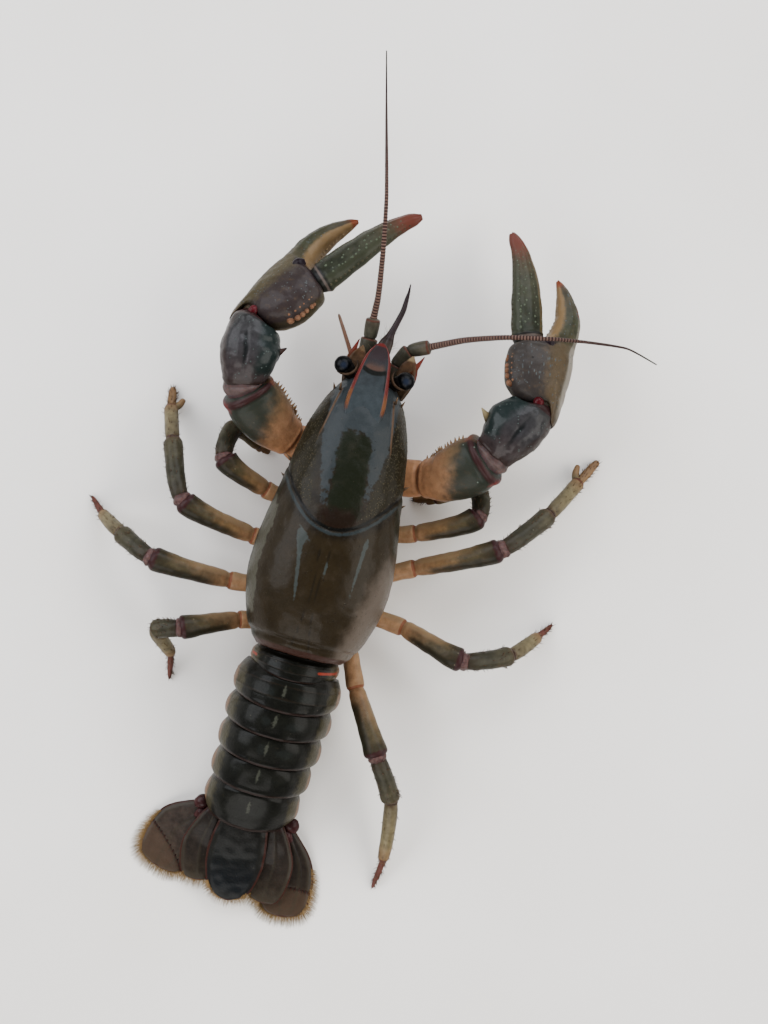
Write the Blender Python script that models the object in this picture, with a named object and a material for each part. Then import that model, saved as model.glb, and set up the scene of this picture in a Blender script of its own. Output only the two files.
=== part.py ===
"""A life-size paintedhand mudbug standing on the floor.

Sizes are in millimetres and become metres when a mesh is made. The animal's midline is x = 0,
+Y is the head, +Z is up and the floor is z = 0. Left and right are the animal's own.
"""

import math
import random

import bmesh
import bpy
from mathutils import Matrix, Vector

MM = 0.001
GAP = 0.3
FLOOR = 0.0
BODY_OFFSET = (-1.55, -1.48)

CARAPACE_REAR = -22.0
CARAPACE_FRONT = 17.2
BELLY_LEVEL = 7.0
BELLY_RISE = 2.3
BELLY_RISE_START = -4.0
CERVICAL_MIDDLE = -4.2
CERVICAL_SWEEP = 0.1
STERNUM_HALF_WIDTH = 3.2
STERNUM_FRONT = 8.6
STERNUM_FLOOR = 3.7
COXA_LEVEL = 4.9

# Carapace: distance forward, half width and height of the back.
CARAPACE = (
    (CARAPACE_REAR, 6.3, 17.9),
    (-21.0, 7.2, 18.9),
    (-19.0, 8.3, 20.1),
    (-15.5, 9.4, 21.3),
    (-12.0, 10.0, 21.9),
    (-8.0, 9.9, 22.1),
    (-4.0, 9.4, 22.0),
    (0.0, 8.7, 21.6),
    (5.0, 7.9, 20.8),
    (9.0, 7.2, 19.9),
    (12.5, 6.1, 18.9),
    (14.5, 5.1, 18.1),
    (16.0, 4.2, 17.2),
    (CARAPACE_FRONT, 3.3, 15.6),
)

# Rostrum: distance forward, half width and height of its rim.
ROSTRUM = (
    (10.5, 2.3, 19.2),
    (13.5, 2.75, 19.1),
    (16.3, 2.5, 18.6),
    (18.2, 2.2, 18.1),
    (20.3, 1.75, 17.7),
    (21.1, 1.0, 17.5),
    (22.2, 0.3, 17.3),
)
ROSTRUM_THICKNESS = 1.5
ROSTRUM_HOLLOW = 0.45

# Abdomen rings: front and rear edges, half width, height at the front and at the rear.
SOMITES = (
    (-22.3, -24.5, 6.4, 16.2, 16.3),
    (-24.8, -29.1, 7.7, 16.2, 15.9),
    (-29.4, -33.0, 7.7, 15.6, 15.0),
    (-33.3, -37.2, 7.5, 14.7, 13.8),
    (-37.5, -41.5, 7.2, 13.5, 12.2),
    (-41.8, -47.2, 6.9, 11.9, 8.2),
)
# Along a ring from front to rear: share of its length, of its half width and of its lobes' hang.
SOMITE_OUTLINE = (
    ((0, 0.9, 0.3), (0.1, 0.92, 0.5), (0.3, 0.96, 0.85), (0.6, 1, 1), (0.85, 0.99, 0.85), (1, 0.93, 0.45)),
    ((0, 0.9, 0.3), (0.1, 0.92, 0.5), (0.3, 0.98, 0.85), (0.55, 1, 1), (0.8, 0.9, 0.7), (1, 0.77, 0.4)),
)
SOMITE_BELLY = (6.2, 5.6, 5.2, 4.8, 4.2, 3.2)
PLEURON_TIP = (5.6, 2.4, 2.1, 1.9, 1.6, 1.2)
TAIL_START = -47.5
TAIL_DRIFT = 0.045
LOBE_SHARE = 0.95
BELLY_SHARE = 0.74

# Tail fan blades: line from root to tip, and half widths and half heights along it.
TELSON_LINE = ((-1.35, TAIL_START, 4.5), (-1.3, -53.5, 3.3), (-1.1, -59.7, 2.45))
TELSON_WIDTHS = (3.1, 3.8, 4.15, 4.2, 4.0, 3.5, 2.8, 1.8, 0.8)
TELSON_HEIGHTS = (1.3, 1.1, 0.9, 0.75, 0.65, 0.6, 0.5, 0.42, 0.3)
INNER_LINES = {
    "left": ((-5.8, TAIL_START, 3.3), (-6.6, -53.0, 2.05), (-5.9, -58.2, 1.4)),
    "right": ((3.1, TAIL_START, 3.3), (4.3, -53.0, 2.05), (3.9, -59.0, 1.4)),
}
INNER_WIDTHS = (1.05, 1.9, 2.5, 2.8, 2.85, 2.75, 2.4, 1.8, 0.7)
OUTER_LINES = {
    "left": ((-6.6, TAIL_START, 1.7), (-10.2, -52.0, 0.7), (-12.0, -58.0, 0.25)),
    "right": ((3.9, TAIL_START, 1.7), (6.3, -53.4, 0.65), (7.2, -60.4, 0.25)),
}
OUTER_WIDTHS = {
    "left": (1.4, 2.6, 3.6, 4.1, 4.25, 4.1, 3.6, 2.6, 1.0),
    "right": (1.3, 2.4, 3.3, 3.75, 3.9, 3.75, 3.3, 2.4, 0.9),
}
UROPOD_HEIGHTS = (0.65, 0.6, 0.5, 0.45, 0.42, 0.4, 0.36, 0.32, 0.28)
BLADE_END_CROWDING = 1.6
KNOB_RADIUS = 0.85
KNOB_OFFSET = (1.45, 0.2, 0.6)

EYE_RADIUS = 1.3
EYE_CENTRE = (4.45, 18.2, 15.0)
EYE_ROOT = (1.9, 16.6, 13.9)
STALK_WIDTH = 0.75

# Feelers: lines from root to tip, and profiles of joint number with its share, half width and height.
ANTENNULE_LINES = {
    "left": ((-0.9, 16.0, 12.6), (-0.6, 20.5, 12.7), (0.2, 24.0, 12.4), (1.2, 27.6, 12.2), (1.4, 30.4, 11.9)),
    "right": ((1.0, 16.0, 13.4), (0.7, 20.5, 14.0), (0.9, 24.0, 14.2), (1.7, 27.8, 14.0), (1.6, 31.5, 13.4)),
}
ANTENNULE_PROFILE = ((0, 0.6, 0.8), (1, 0.5, 0.7), (2, 0.42, 0.5), (3, 0.32, 0.36), (4, 0.14, 0.14))
PEDUNCLE_LINES = {
    "left": ((-2.5, 16.0, 10.9), (-2.1, 20.4, 11.0), (-2.0, 23.0, 11.4), (-2.2, 25.7, 12.2)),
    "right": ((2.5, 16.0, 10.9), (2.6, 20.2, 11.0), (3.9, 22.6, 11.4), (6.5, 23.9, 12.2)),
}
PEDUNCLE_PROFILE = (
    (0, 1.25, 1.15),
    (0.7, 1.3, 1.2),
    (1.0, 1.0, 0.95),
    (1.3, 1.15, 1.05),
    (1.85, 1.05, 1.0),
    (2.05, 0.8, 0.8),
    (2.3, 0.95, 0.9),
    (2.9, 0.8, 0.8),
    (3, 0.6, 0.6),
)
WHIP_LINES = {
    "left": (
        (-2.2, 25.7, 12.2),
        (-2.3, 28.5, 13.8),
        (-3.3, 35.1, 17.2),
        (-4.65, 41.6, 18.0),
        (-6.5, 48.5, 15.6),
        (-8.2, 54.7, 11.6),
        (-10.55, 63.4, 6.0),
    ),
    "right": (
        (6.5, 23.9, 12.2),
        (10.9, 25.8, 15.6),
        (16.0, 27.3, 18.9),
        (22.3, 28.7, 20.0),
        (27.2, 29.7, 18.2),
        (33.0, 30.8, 12.8),
        (38.2, 30.4, 6.0),
    ),
}
WHIP_ROOT_WIDTH = 0.46
WHIP_TIP_WIDTH = 0.16
WHIP_STATIONS = 18
SCALE_LINES = {
    "left": ((-3.3, 15.6, 12.9), (-3.3, 18.6, 13.0), (-2.9, 22.5, 13.2)),
    "right": ((3.9, 15.6, 12.9), (4.4, 18.6, 13.0), (5.6, 22.4, 13.3)),
}
SCALE_PROFILE = ((0, 0.8, 0.3), (0.7, 1.15, 0.32), (1.3, 1.2, 0.32), (1.7, 0.95, 0.3), (2, 0.25, 0.25))

# Mouthparts under the head, given for the right side.
MAXILLIPED_LINE = (
    (1.65, STERNUM_FRONT, 6.3),
    (1.75, 13.0, 7.0),
    (2.1, 17.0, 7.6),
    (1.5, 19.6, 6.6),
    (1.0, 18.6, 4.9),
)
MAXILLIPED_PROFILE = (
    (0, 1.2, 1.3),
    (0.5, 1.35, 1.3),
    (1, 1.25, 1.1),
    (1.1, 1.05, 1.0),
    (1.6, 1.2, 1.1),
    (2, 0.95, 0.9),
    (2.6, 0.8, 0.8),
    (3, 0.7, 0.7),
    (3.6, 0.5, 0.5),
    (4, 0.2, 0.2),
)
PALP_LINE = ((-1.9, 14.6, 7.1), (-3.8, 19.8, 8.0), (-7.2, 25.3, 8.6))
PALP_PROFILE = ((0, 0.35, 0.35), (1, 0.36, 0.36), (2, 0.22, 0.22))

LEG_WIDTH = 1.5
RANDOM_SEED = 11


def clear_scene():
    for old in list(bpy.data.objects):
        bpy.data.objects.remove(old)


def shell(name, colour, roughness=0.3, metallic=0.0):
    """A Principled material with one base colour."""
    made = bpy.data.materials.new(name)
    made.use_nodes = True
    principled = made.node_tree.nodes["Principled BSDF"]
    principled.inputs["Base Color"].default_value = (*colour, 1.0)
    principled.inputs["Roughness"].default_value = roughness
    principled.inputs["Metallic"].default_value = metallic
    return made


def make_materials():
    return {
        "carapace": shell("carapace", (0.055, 0.050, 0.024), 0.2),
        "abdomen": shell("abdomen", (0.030, 0.034, 0.024), 0.3),
        "tail_fan": shell("tail_fan", (0.045, 0.045, 0.032), 0.3),
        "claw": shell("claw", (0.045, 0.052, 0.036), 0.35),
        "arm": shell("arm", (0.110, 0.085, 0.048), 0.35),
        "leg": shell("leg", (0.150, 0.120, 0.060), 0.35),
        "foot": shell("foot", (0.220, 0.110, 0.060), 0.4),
        "belly": shell("belly", (0.450, 0.300, 0.180), 0.45),
        "feeler": shell("feeler", (0.130, 0.060, 0.045), 0.4),
        "eye": shell("eye", (0.004, 0.005, 0.008), 0.08),
    }


def ease(value, start, end):
    """A smooth rise from 0 at the start to 1 at the end."""
    share = min(max((value - start) / (end - start), 0.0), 1.0)
    return share * share * (3 - 2 * share)


def smooth_value(table, at, column):
    """The value of a column of a table at one place, read from a curve through its rows."""
    places = [row[0] for row in table]
    values = [row[column] for row in table]
    if at <= places[0]:
        return values[0]
    if at >= places[-1]:
        return values[-1]
    last = len(table) - 1
    index = next(i for i in range(last) if at <= places[i + 1])
    before, after = max(index - 1, 0), min(index + 2, last)
    span = places[index + 1] - places[index]
    share = (at - places[index]) / span
    slope_in = (values[index + 1] - values[before]) / (places[index + 1] - places[before]) * span
    slope_out = (values[after] - values[index]) / (places[after] - places[index]) * span
    square, cube = share**2, share**3
    return (
        (2 * cube - 3 * square + 1) * values[index]
        + (cube - 2 * square + share) * slope_in
        + (3 * square - 2 * cube) * values[index + 1]
        + (cube - square) * slope_out
    )


def signed_power(value, exponent):
    return math.copysign(abs(value) ** exponent, value)


def loft(rings):
    """The points and faces of a closed skin through rings of equal count, capped at both ends."""
    count = len(rings[0])
    points = [point for ring in rings for point in ring]
    faces = []
    for row in range(len(rings) - 1):
        for column in range(count):
            here = row * count + column
            beside = row * count + (column + 1) % count
            faces.append((here, beside, beside + count))
            faces.append((here, beside + count, here + count))
    faces.append(tuple(range(count))[::-1])
    faces.append(tuple(range(len(points) - count, len(points))))
    return points, faces


def mesh_object(name, rings, material=None):
    """An object in metres from rings in millimetres, its faces pointing out."""
    points, faces = loft(rings)
    mesh = bpy.data.meshes.new(name)
    mesh.from_pydata([Vector(point) * MM for point in points], [], faces)
    edited = bmesh.new()
    edited.from_mesh(mesh)
    bmesh.ops.recalc_face_normals(edited, faces=edited.faces)
    edited.to_mesh(mesh)
    edited.free()
    made = bpy.data.objects.new(name, mesh)
    bpy.context.scene.collection.objects.link(made)
    if material:
        mesh.materials.append(material)
    return made


def shade_round(made, angle=math.radians(40)):
    made.data.shade_smooth()
    made.data.set_sharp_from_angle(angle=angle)


def keep_largest(made):
    """Leave only the largest closed surface of a mesh."""
    edited = bmesh.new()
    edited.from_mesh(made.data)
    bmesh.ops.triangulate(edited, faces=edited.faces)
    unseen = set(edited.faces)
    surfaces = []
    while unseen:
        stack = [unseen.pop()]
        surface = []
        while stack:
            face = stack.pop()
            surface.append(face)
            for edge in face.edges:
                for other in edge.link_faces:
                    if other in unseen:
                        unseen.remove(other)
                        stack.append(other)
        surfaces.append(surface)
    surfaces.sort(key=lambda faces: sum(face.calc_area() for face in faces), reverse=True)
    for surface in surfaces[1:]:
        bmesh.ops.delete(edited, geom=surface, context="FACES")
    loose = [vertex for vertex in edited.verts if not vertex.link_faces]
    bmesh.ops.delete(edited, geom=loose, context="VERTS")
    edited.to_mesh(made.data)
    edited.free()


def apply_boolean(made, operation, others):
    """Join or cut one object with several closed ones."""
    helpers = bpy.data.collections.new("helpers")
    for other in others:
        helpers.objects.link(other)
    modifier = made.modifiers.new(operation, "BOOLEAN")
    modifier.operation = operation
    modifier.operand_type = "COLLECTION"
    modifier.collection = helpers
    modifier.solver = "EXACT"
    bpy.context.view_layer.objects.active = made
    bpy.ops.object.modifier_apply(modifier=modifier.name)
    bpy.data.collections.remove(helpers)


def fuse(made, extras):
    """Fuse closed shapes to a body with one union and drop the shapes."""
    apply_boolean(made, "UNION", extras)
    for extra in extras:
        bpy.data.objects.remove(extra)
    keep_largest(made)
    return made


def trim(made, cutters):
    """Cut a body clear of others that were regrown by the gap."""
    apply_boolean(made, "DIFFERENCE", cutters)
    keep_largest(made)
    return made


def settle(made):
    """Lay whatever reaches below the floor flat on it."""
    for vertex in made.data.vertices:
        vertex.co.z = max(vertex.co.z, FLOOR)


def superellipse(sides, squareness=2.2):
    """Unit points round a rounded-square outline."""
    outline = []
    for index in range(sides):
        angle = 2 * math.pi * (index + 0.5) / sides
        outline.append(
            (
                signed_power(math.cos(angle), 2 / squareness),
                signed_power(math.sin(angle), 2 / squareness),
            )
        )
    return outline


def tube_ring(centre, across, upward, half_width, half_height, outline):
    return [centre + across * (half_width * a) + upward * (half_height * b) for a, b in outline]


def joint_tangents(joints, first=None, last=None):
    """The direction of a limb at each joint, halfway between the lengths on either side."""
    tangents = []
    for index in range(len(joints)):
        before = joints[max(index - 1, 0)]
        after = joints[min(index + 1, len(joints) - 1)]
        here = joints[index]
        arriving = (here - before).normalized() if index else (after - here).normalized()
        leaving = (after - here).normalized() if index < len(joints) - 1 else arriving
        tangents.append((arriving + leaving).normalized())
    if first is not None:
        tangents[0] = first.normalized()
    if last is not None:
        tangents[-1] = last.normalized()
    return tangents


def hermite(start, end, leaving, arriving, share, tension=0.6):
    """Place and direction a share of the way along a length that bends near its ends."""
    pull = (end - start).length * tension
    square, cube = share**2, share**3
    place = (
        start * (2 * cube - 3 * square + 1)
        + leaving * pull * (cube - 2 * square + share)
        + end * (3 * square - 2 * cube)
        + arriving * pull * (cube - square)
    )
    direction = (
        start * (6 * square - 6 * share)
        + leaving * pull * (3 * square - 4 * share + 1)
        + end * (6 * share - 6 * square)
        + arriving * pull * (3 * square - 2 * share)
    )
    return place, direction.normalized()


def limb_rings(joints, tangents, profile, sides=10, roll=0.0, squareness=2.2, trims=(1, 1)):
    """Rings along a limb. Each profile row is a joint number with its share, half width and height."""
    outline = superellipse(sides, squareness)
    rings = []
    last = len(joints) - 1
    for row, (along, half_width, half_height) in enumerate(profile):
        index = min(int(along), last - 1)
        place, direction = hermite(
            joints[index],
            joints[index + 1],
            tangents[index],
            tangents[index + 1],
            along - index,
        )
        if row == 0:
            place = place + direction * (trims[0] * GAP / 2)
        if row == len(profile) - 1:
            place = place - direction * (trims[1] * GAP / 2)
        across = direction.cross(Vector((0, 0, 1)))
        across = across.normalized() if across.length > 0.05 else Vector((1, 0, 0))
        across = Matrix.Rotation(roll, 3, direction) @ across
        upward = across.cross(direction).normalized()
        rings.append(tube_ring(place, across, upward, half_width, half_height, outline))
    return rings


def spike(base, direction, length, width, sides=4):
    """A small pointed cone whose root lies behind its base."""
    direction = direction.normalized()
    across = direction.orthogonal().normalized()
    upward = direction.cross(across)
    outline = superellipse(sides, 2)
    rings = [
        tube_ring(base - direction * length * 0.5, across, upward, width, width, outline),
        tube_ring(base + direction * length * 0.25, across, upward, width * 0.75, width * 0.75, outline),
        tube_ring(base + direction * length, across, upward, 0.08, 0.08, outline),
    ]
    return mesh_object("spike", rings)


def belly_level(forward):
    rise = max(forward - BELLY_RISE_START, 0) / (CARAPACE_FRONT - BELLY_RISE_START)
    return BELLY_LEVEL + BELLY_RISE * rise


def carapace_ring(forward, grow=0.0, place=None):
    """One cross-section of the carapace: a round arch whose sides tuck in to a flat belly."""
    half_width = smooth_value(CARAPACE, forward, 1) + grow
    top = smooth_value(CARAPACE, forward, 2) + grow
    bottom = belly_level(forward) - grow
    widest = bottom + 0.4 * (top - bottom)
    arch_steps, side_steps = 16, 3
    ring = []
    for step in range(arch_steps + 1):
        angle = math.pi * step / arch_steps
        across = signed_power(math.cos(angle), 2 / 2.15) * half_width
        ring.append((across, widest + math.sin(angle) ** (2 / 2.15) * (top - widest)))
    tuck = 0.84
    for step in range(1, side_steps + 1):
        share = step / side_steps
        ring.append((-half_width * (1 - (1 - tuck) * share**2), widest - (widest - bottom) * share))
    ring.append((0.0, bottom))
    for step in range(side_steps, 0, -1):
        share = step / side_steps
        ring.append((half_width * (1 - (1 - tuck) * share**2), widest - (widest - bottom) * share))
    at = forward if place is None else place
    return [Vector((x, at, z)) for x, z in ring]


def carapace_solid(name, grow=0.0, steps=30, material=None):
    """The whole carapace, regrown by a gap where it serves as a cutter."""
    rings = []
    for step in range(steps + 1):
        forward = CARAPACE_REAR + (CARAPACE_FRONT - CARAPACE_REAR) * step / steps
        place = forward
        if step == 0:
            place -= grow
        if step == steps:
            place += grow
        rings.append(carapace_ring(forward, grow, place))
    return mesh_object(name, rings, material)


def cervical_cutter():
    """A thin curved wall that follows the cervical groove."""
    rings = []
    for step in range(-14, 15):
        middle = CERVICAL_MIDDLE + CERVICAL_SWEEP * step**2
        rings.append(
            [
                Vector((step, middle - GAP / 2, -5)),
                Vector((step, middle + GAP / 2, -5)),
                Vector((step, middle + GAP / 2, 40)),
                Vector((step, middle - GAP / 2, 40)),
            ]
        )
    return mesh_object("cervical_cutter", rings)


def rostrum():
    """A tapering plate with raised rims and a hollow between them."""
    rings = []
    for forward, half_width, rim in ROSTRUM:
        floor = rim - min(ROSTRUM_HOLLOW, half_width * 0.3)
        under = rim - min(ROSTRUM_THICKNESS, 0.5 + half_width * 0.8)
        rings.append(
            [
                Vector((half_width, forward, rim - 0.25)),
                Vector((half_width * 0.82, forward, rim)),
                Vector((half_width * 0.5, forward, floor)),
                Vector((0, forward, floor - 0.05)),
                Vector((-half_width * 0.5, forward, floor)),
                Vector((-half_width * 0.82, forward, rim)),
                Vector((-half_width, forward, rim - 0.25)),
                Vector((-half_width * 0.6, forward, under)),
                Vector((half_width * 0.6, forward, under)),
            ]
        )
    return mesh_object("rostrum", rings)


def postorbital_ridge(side):
    """A low ridge behind the eye that ends in a point."""
    start = Vector((side * 3.9, 15.2, 17.35))
    end = Vector((side * 4.9, 8.6, 19.0))
    joints = [start, (start + end) / 2 + Vector((0, 0, 0.25)), end]
    profile = [(0, 0.12, 0.12), (0.4, 0.35, 0.4), (1, 0.4, 0.45), (1.6, 0.3, 0.35), (2, 0.15, 0.15)]
    return mesh_object("ridge", limb_rings(joints, joint_tangents(joints), profile, 5))


def make_carapace(materials):
    """The carapace, parted along the cervical groove."""
    whole = carapace_solid("carapace_front", material=materials["carapace"])
    extras = [rostrum()] + [postorbital_ridge(side) for side in (-1, 1)]
    for side in (-1, 1):
        extras.append(spike(Vector((side * 8.1, 3.6, 14.0)), Vector((side, 0.5, 0.2)), 0.9, 0.35))
        extras.append(spike(Vector((side * 4.9, 14.8, 14.2)), Vector((side * 0.3, 1, 0)), 0.9, 0.4))
    fuse(whole, extras)
    cutter = cervical_cutter()
    apply_boolean(whole, "DIFFERENCE", [cutter])
    bpy.data.objects.remove(cutter)
    rear = whole.copy()
    rear.data = whole.data.copy()
    rear.name = "carapace_rear"
    bpy.context.scene.collection.objects.link(rear)
    for piece, is_front in ((whole, True), (rear, False)):
        keep_side(piece, is_front)
        shade_round(piece)
    return whole, rear


def keep_side(made, is_front):
    """Keep the surface that lies ahead of or behind the cervical groove."""
    edited = bmesh.new()
    edited.from_mesh(made.data)
    outside = []
    for vertex in edited.verts:
        across, forward = vertex.co.x / MM, vertex.co.y / MM
        ahead = forward > CERVICAL_MIDDLE + CERVICAL_SWEEP * across**2
        if ahead != is_front:
            outside.append(vertex)
    bmesh.ops.delete(edited, geom=outside, context="VERTS")
    edited.to_mesh(made.data)
    edited.free()
    keep_largest(made)


def make_sternum(materials):
    """The keel between the leg roots."""
    rings = []
    for forward in (CARAPACE_REAR + 0.5, -14.0, BELLY_RISE_START, 2.0, STERNUM_FRONT):
        top = belly_level(forward) - GAP
        low = STERNUM_FLOOR + max(forward, 0) * 0.12
        wide = STERNUM_HALF_WIDTH
        rings.append(
            [
                Vector((wide, forward, top)),
                Vector((-wide, forward, top)),
                Vector((-wide, forward, low + 0.8)),
                Vector((-wide * 0.6, forward, low)),
                Vector((0, forward, low + 0.4)),
                Vector((wide * 0.6, forward, low)),
                Vector((wide, forward, low + 0.8)),
            ]
        )
    return mesh_object("sternum", rings, materials["belly"])


def tail_middle(forward):
    """The abdomen drifts a little to the animal's left."""
    return -0.2 + TAIL_DRIFT * min(forward - CARAPACE_REAR, 0)


def somite_ring(forward, half_width, top, belly, pleuron):
    """One cross-section of an abdomen ring, with a lobe hanging on either side."""
    middle = tail_middle(forward)
    arch_steps = 12
    ring = []
    for step in range(arch_steps + 1):
        angle = math.pi * step / arch_steps
        across = signed_power(math.cos(angle), 2 / 2.3) * half_width
        ring.append((across, belly + math.sin(angle) ** (2 / 2.3) * (top - belly)))
    lobe = half_width * LOBE_SHARE
    inside = half_width * BELLY_SHARE
    turn = pleuron + 0.3 * (belly - pleuron)
    left = [(-lobe, turn), (-lobe + 0.35, pleuron), (-lobe + 1.0, pleuron), (-inside, belly)]
    right = [(-x, z) for x, z in reversed(left)]
    ring += left + [(0.0, belly - 0.2)] + right
    return [Vector((middle + x, forward, z)) for x, z in ring]


def pleopod(forward, side, belly):
    """A small two-branched swimmeret under the abdomen."""
    middle = tail_middle(forward)
    root = Vector((middle + side * 3.2, forward, belly + 0.6))
    bend = Vector((middle + side * 2.8, forward + 0.4, belly - 1.4))
    tip = Vector((middle + side * 1.8, forward + 2.6, belly - 2.6))
    joints = [root, bend, tip]
    profile = [(0, 0.45, 0.45), (1, 0.5, 0.4), (1.5, 0.75, 0.3), (2, 0.3, 0.25)]
    return mesh_object("pleopod", limb_rings(joints, joint_tangents(joints), profile, 6))


def make_abdomen(materials):
    made = []
    for number, (front, rear, half_width, top_front, top_rear) in enumerate(SOMITES):
        belly, tip = SOMITE_BELLY[number], PLEURON_TIP[number]
        rings = []
        for share, spread, hang in SOMITE_OUTLINE[number == len(SOMITES) - 1]:
            forward = front + (rear - front) * share
            top = top_front + (top_rear - top_front) * share - (0.45 if share == 0 else 0)
            pleuron = belly - 0.4 + (tip - belly + 0.4) * hang
            rings.append(somite_ring(forward, half_width * spread, top, belly, pleuron))
        somite = mesh_object(f"abdomen_{number + 1}", rings, materials["abdomen"])
        if 1 <= number <= 4:
            fuse(somite, [pleopod((front + rear) / 2 - 0.6, side, belly) for side in (-1, 1)])
        shade_round(somite)
        made.append(somite)
    return made


def blade(name, line, half_widths, half_heights, material, sides=12):
    """A flat blade with a rounded end that starts straight back from its root."""
    joints = [Vector(place) for place in line]
    rows = len(half_widths)
    profile = []
    for row in range(rows):
        share = 1 - (1 - row / (rows - 1)) ** BLADE_END_CROWDING
        profile.append(((len(joints) - 1) * share, half_widths[row], half_heights[row]))
    tangents = joint_tangents(joints, first=Vector((0, -1, 0)))
    made = mesh_object(name, limb_rings(joints, tangents, profile, sides, trims=(0, 0)), material)
    settle(made)
    shade_round(made)
    return made


def knob(centre, radius):
    """A small ball of few sides."""
    rings = []
    for degrees in (-75, -45, -15, 15, 45, 75):
        angle = math.radians(degrees)
        place = centre + Vector((0, radius * math.sin(angle), 0))
        width = radius * math.cos(angle)
        rings.append(tube_ring(place, Vector((1, 0, 0)), Vector((0, 0, 1)), width, width, superellipse(8, 2)))
    return mesh_object("knob", rings)


def make_tail_fan(materials):
    fan = materials["tail_fan"]
    made = [blade("telson", TELSON_LINE, TELSON_WIDTHS, TELSON_HEIGHTS, fan)]
    for side, outward in (("left", -1), ("right", 1)):
        made.append(blade(f"uropod_{side}_inner", INNER_LINES[side], INNER_WIDTHS, UROPOD_HEIGHTS, fan))
        plate = blade(f"uropod_{side}_outer", OUTER_LINES[side], OUTER_WIDTHS[side], UROPOD_HEIGHTS, fan)
        beside, back, above = KNOB_OFFSET
        centre = Vector(OUTER_LINES[side][0]) + Vector((outward * beside, back, above))
        made.append(fuse(plate, [knob(centre, KNOB_RADIUS)]))
    return made


def make_eye(side, materials, head):
    """A round eye on its short stalk."""
    name = "eye_left" if side < 0 else "eye_right"
    centre = Vector((side * EYE_CENTRE[0], EYE_CENTRE[1], EYE_CENTRE[2]))
    root = Vector((side * EYE_ROOT[0], EYE_ROOT[1], EYE_ROOT[2]))
    direction = (centre - root).normalized()
    across = direction.cross(Vector((0, 0, 1))).normalized()
    upward = across.cross(direction)
    outline = superellipse(12, 2)
    neck = centre - direction * EYE_RADIUS
    rings = [tube_ring(place, across, upward, STALK_WIDTH, STALK_WIDTH, outline) for place in (root, neck)]
    for degrees in (-50, -20, 5, 30, 52, 72, 86):
        angle = math.radians(degrees)
        place = centre + direction * EYE_RADIUS * math.sin(angle)
        width = EYE_RADIUS * math.cos(angle)
        rings.append(tube_ring(place, across, upward, width, width, outline))
    made = trim(mesh_object(name, rings, materials["eye"]), [head])
    shade_round(made)
    return made


def feeler(name, joints, profile, material, sides=8, head=None, trims=(0, 0)):
    """A thin tapering tube, trimmed clear of the head where it grows from it."""
    line = [Vector(place) for place in joints]
    rings = limb_rings(line, joint_tangents(line), profile, sides, trims=trims)
    made = mesh_object(name, rings, material)
    if head:
        trim(made, [head])
    shade_round(made)
    return made


def make_feelers(materials, head):
    """Antennules, antennal scales and antennae."""
    dark, pale = materials["feeler"], materials["arm"]
    whip = []
    for share in spread(WHIP_STATIONS):
        width = WHIP_ROOT_WIDTH + (WHIP_TIP_WIDTH - WHIP_ROOT_WIDTH) * share**1.2
        whip.append((6 * share, width, width))
    made = []
    for side in ("left", "right"):
        made.append(feeler(f"antennule_{side}", ANTENNULE_LINES[side], ANTENNULE_PROFILE, dark, 6, head))
        root = feeler(f"antenna_base_{side}", PEDUNCLE_LINES[side], PEDUNCLE_PROFILE, pale, 10, head, (0, 1))
        made.append(root)
        made.append(feeler(f"antenna_flagellum_{side}", WHIP_LINES[side], whip, dark, 6, None, (2, 0)))
        made.append(feeler(f"antennal_scale_{side}", SCALE_LINES[side], SCALE_PROFILE, pale, 8, head))
    return made


def spread(count):
    """Even shares from nought to one."""
    return [step / (count - 1) for step in range(count)]


def make_maxillipeds(materials, head):
    """The two leg-like mouthparts under the head, with the left one's palp laid out to the side."""
    made = []
    for side, name in ((-1, "left"), (1, "right")):
        joints = [Vector((side * x, y, z)) for x, y, z in MAXILLIPED_LINE]
        tangents = joint_tangents(joints, first=Vector((0, 1, 0)))
        rings = limb_rings(joints, tangents, MAXILLIPED_PROFILE, 8, trims=(2, 0))
        limb = mesh_object(f"maxilliped_{name}", rings, materials["arm"])
        if side < 0:
            line = [Vector(place) for place in PALP_LINE]
            fuse(limb, [mesh_object("palp", limb_rings(line, joint_tangents(line), PALP_PROFILE, 6))])
        trim(limb, [head])
        shade_round(limb)
        made.append(limb)
    return made


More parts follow.
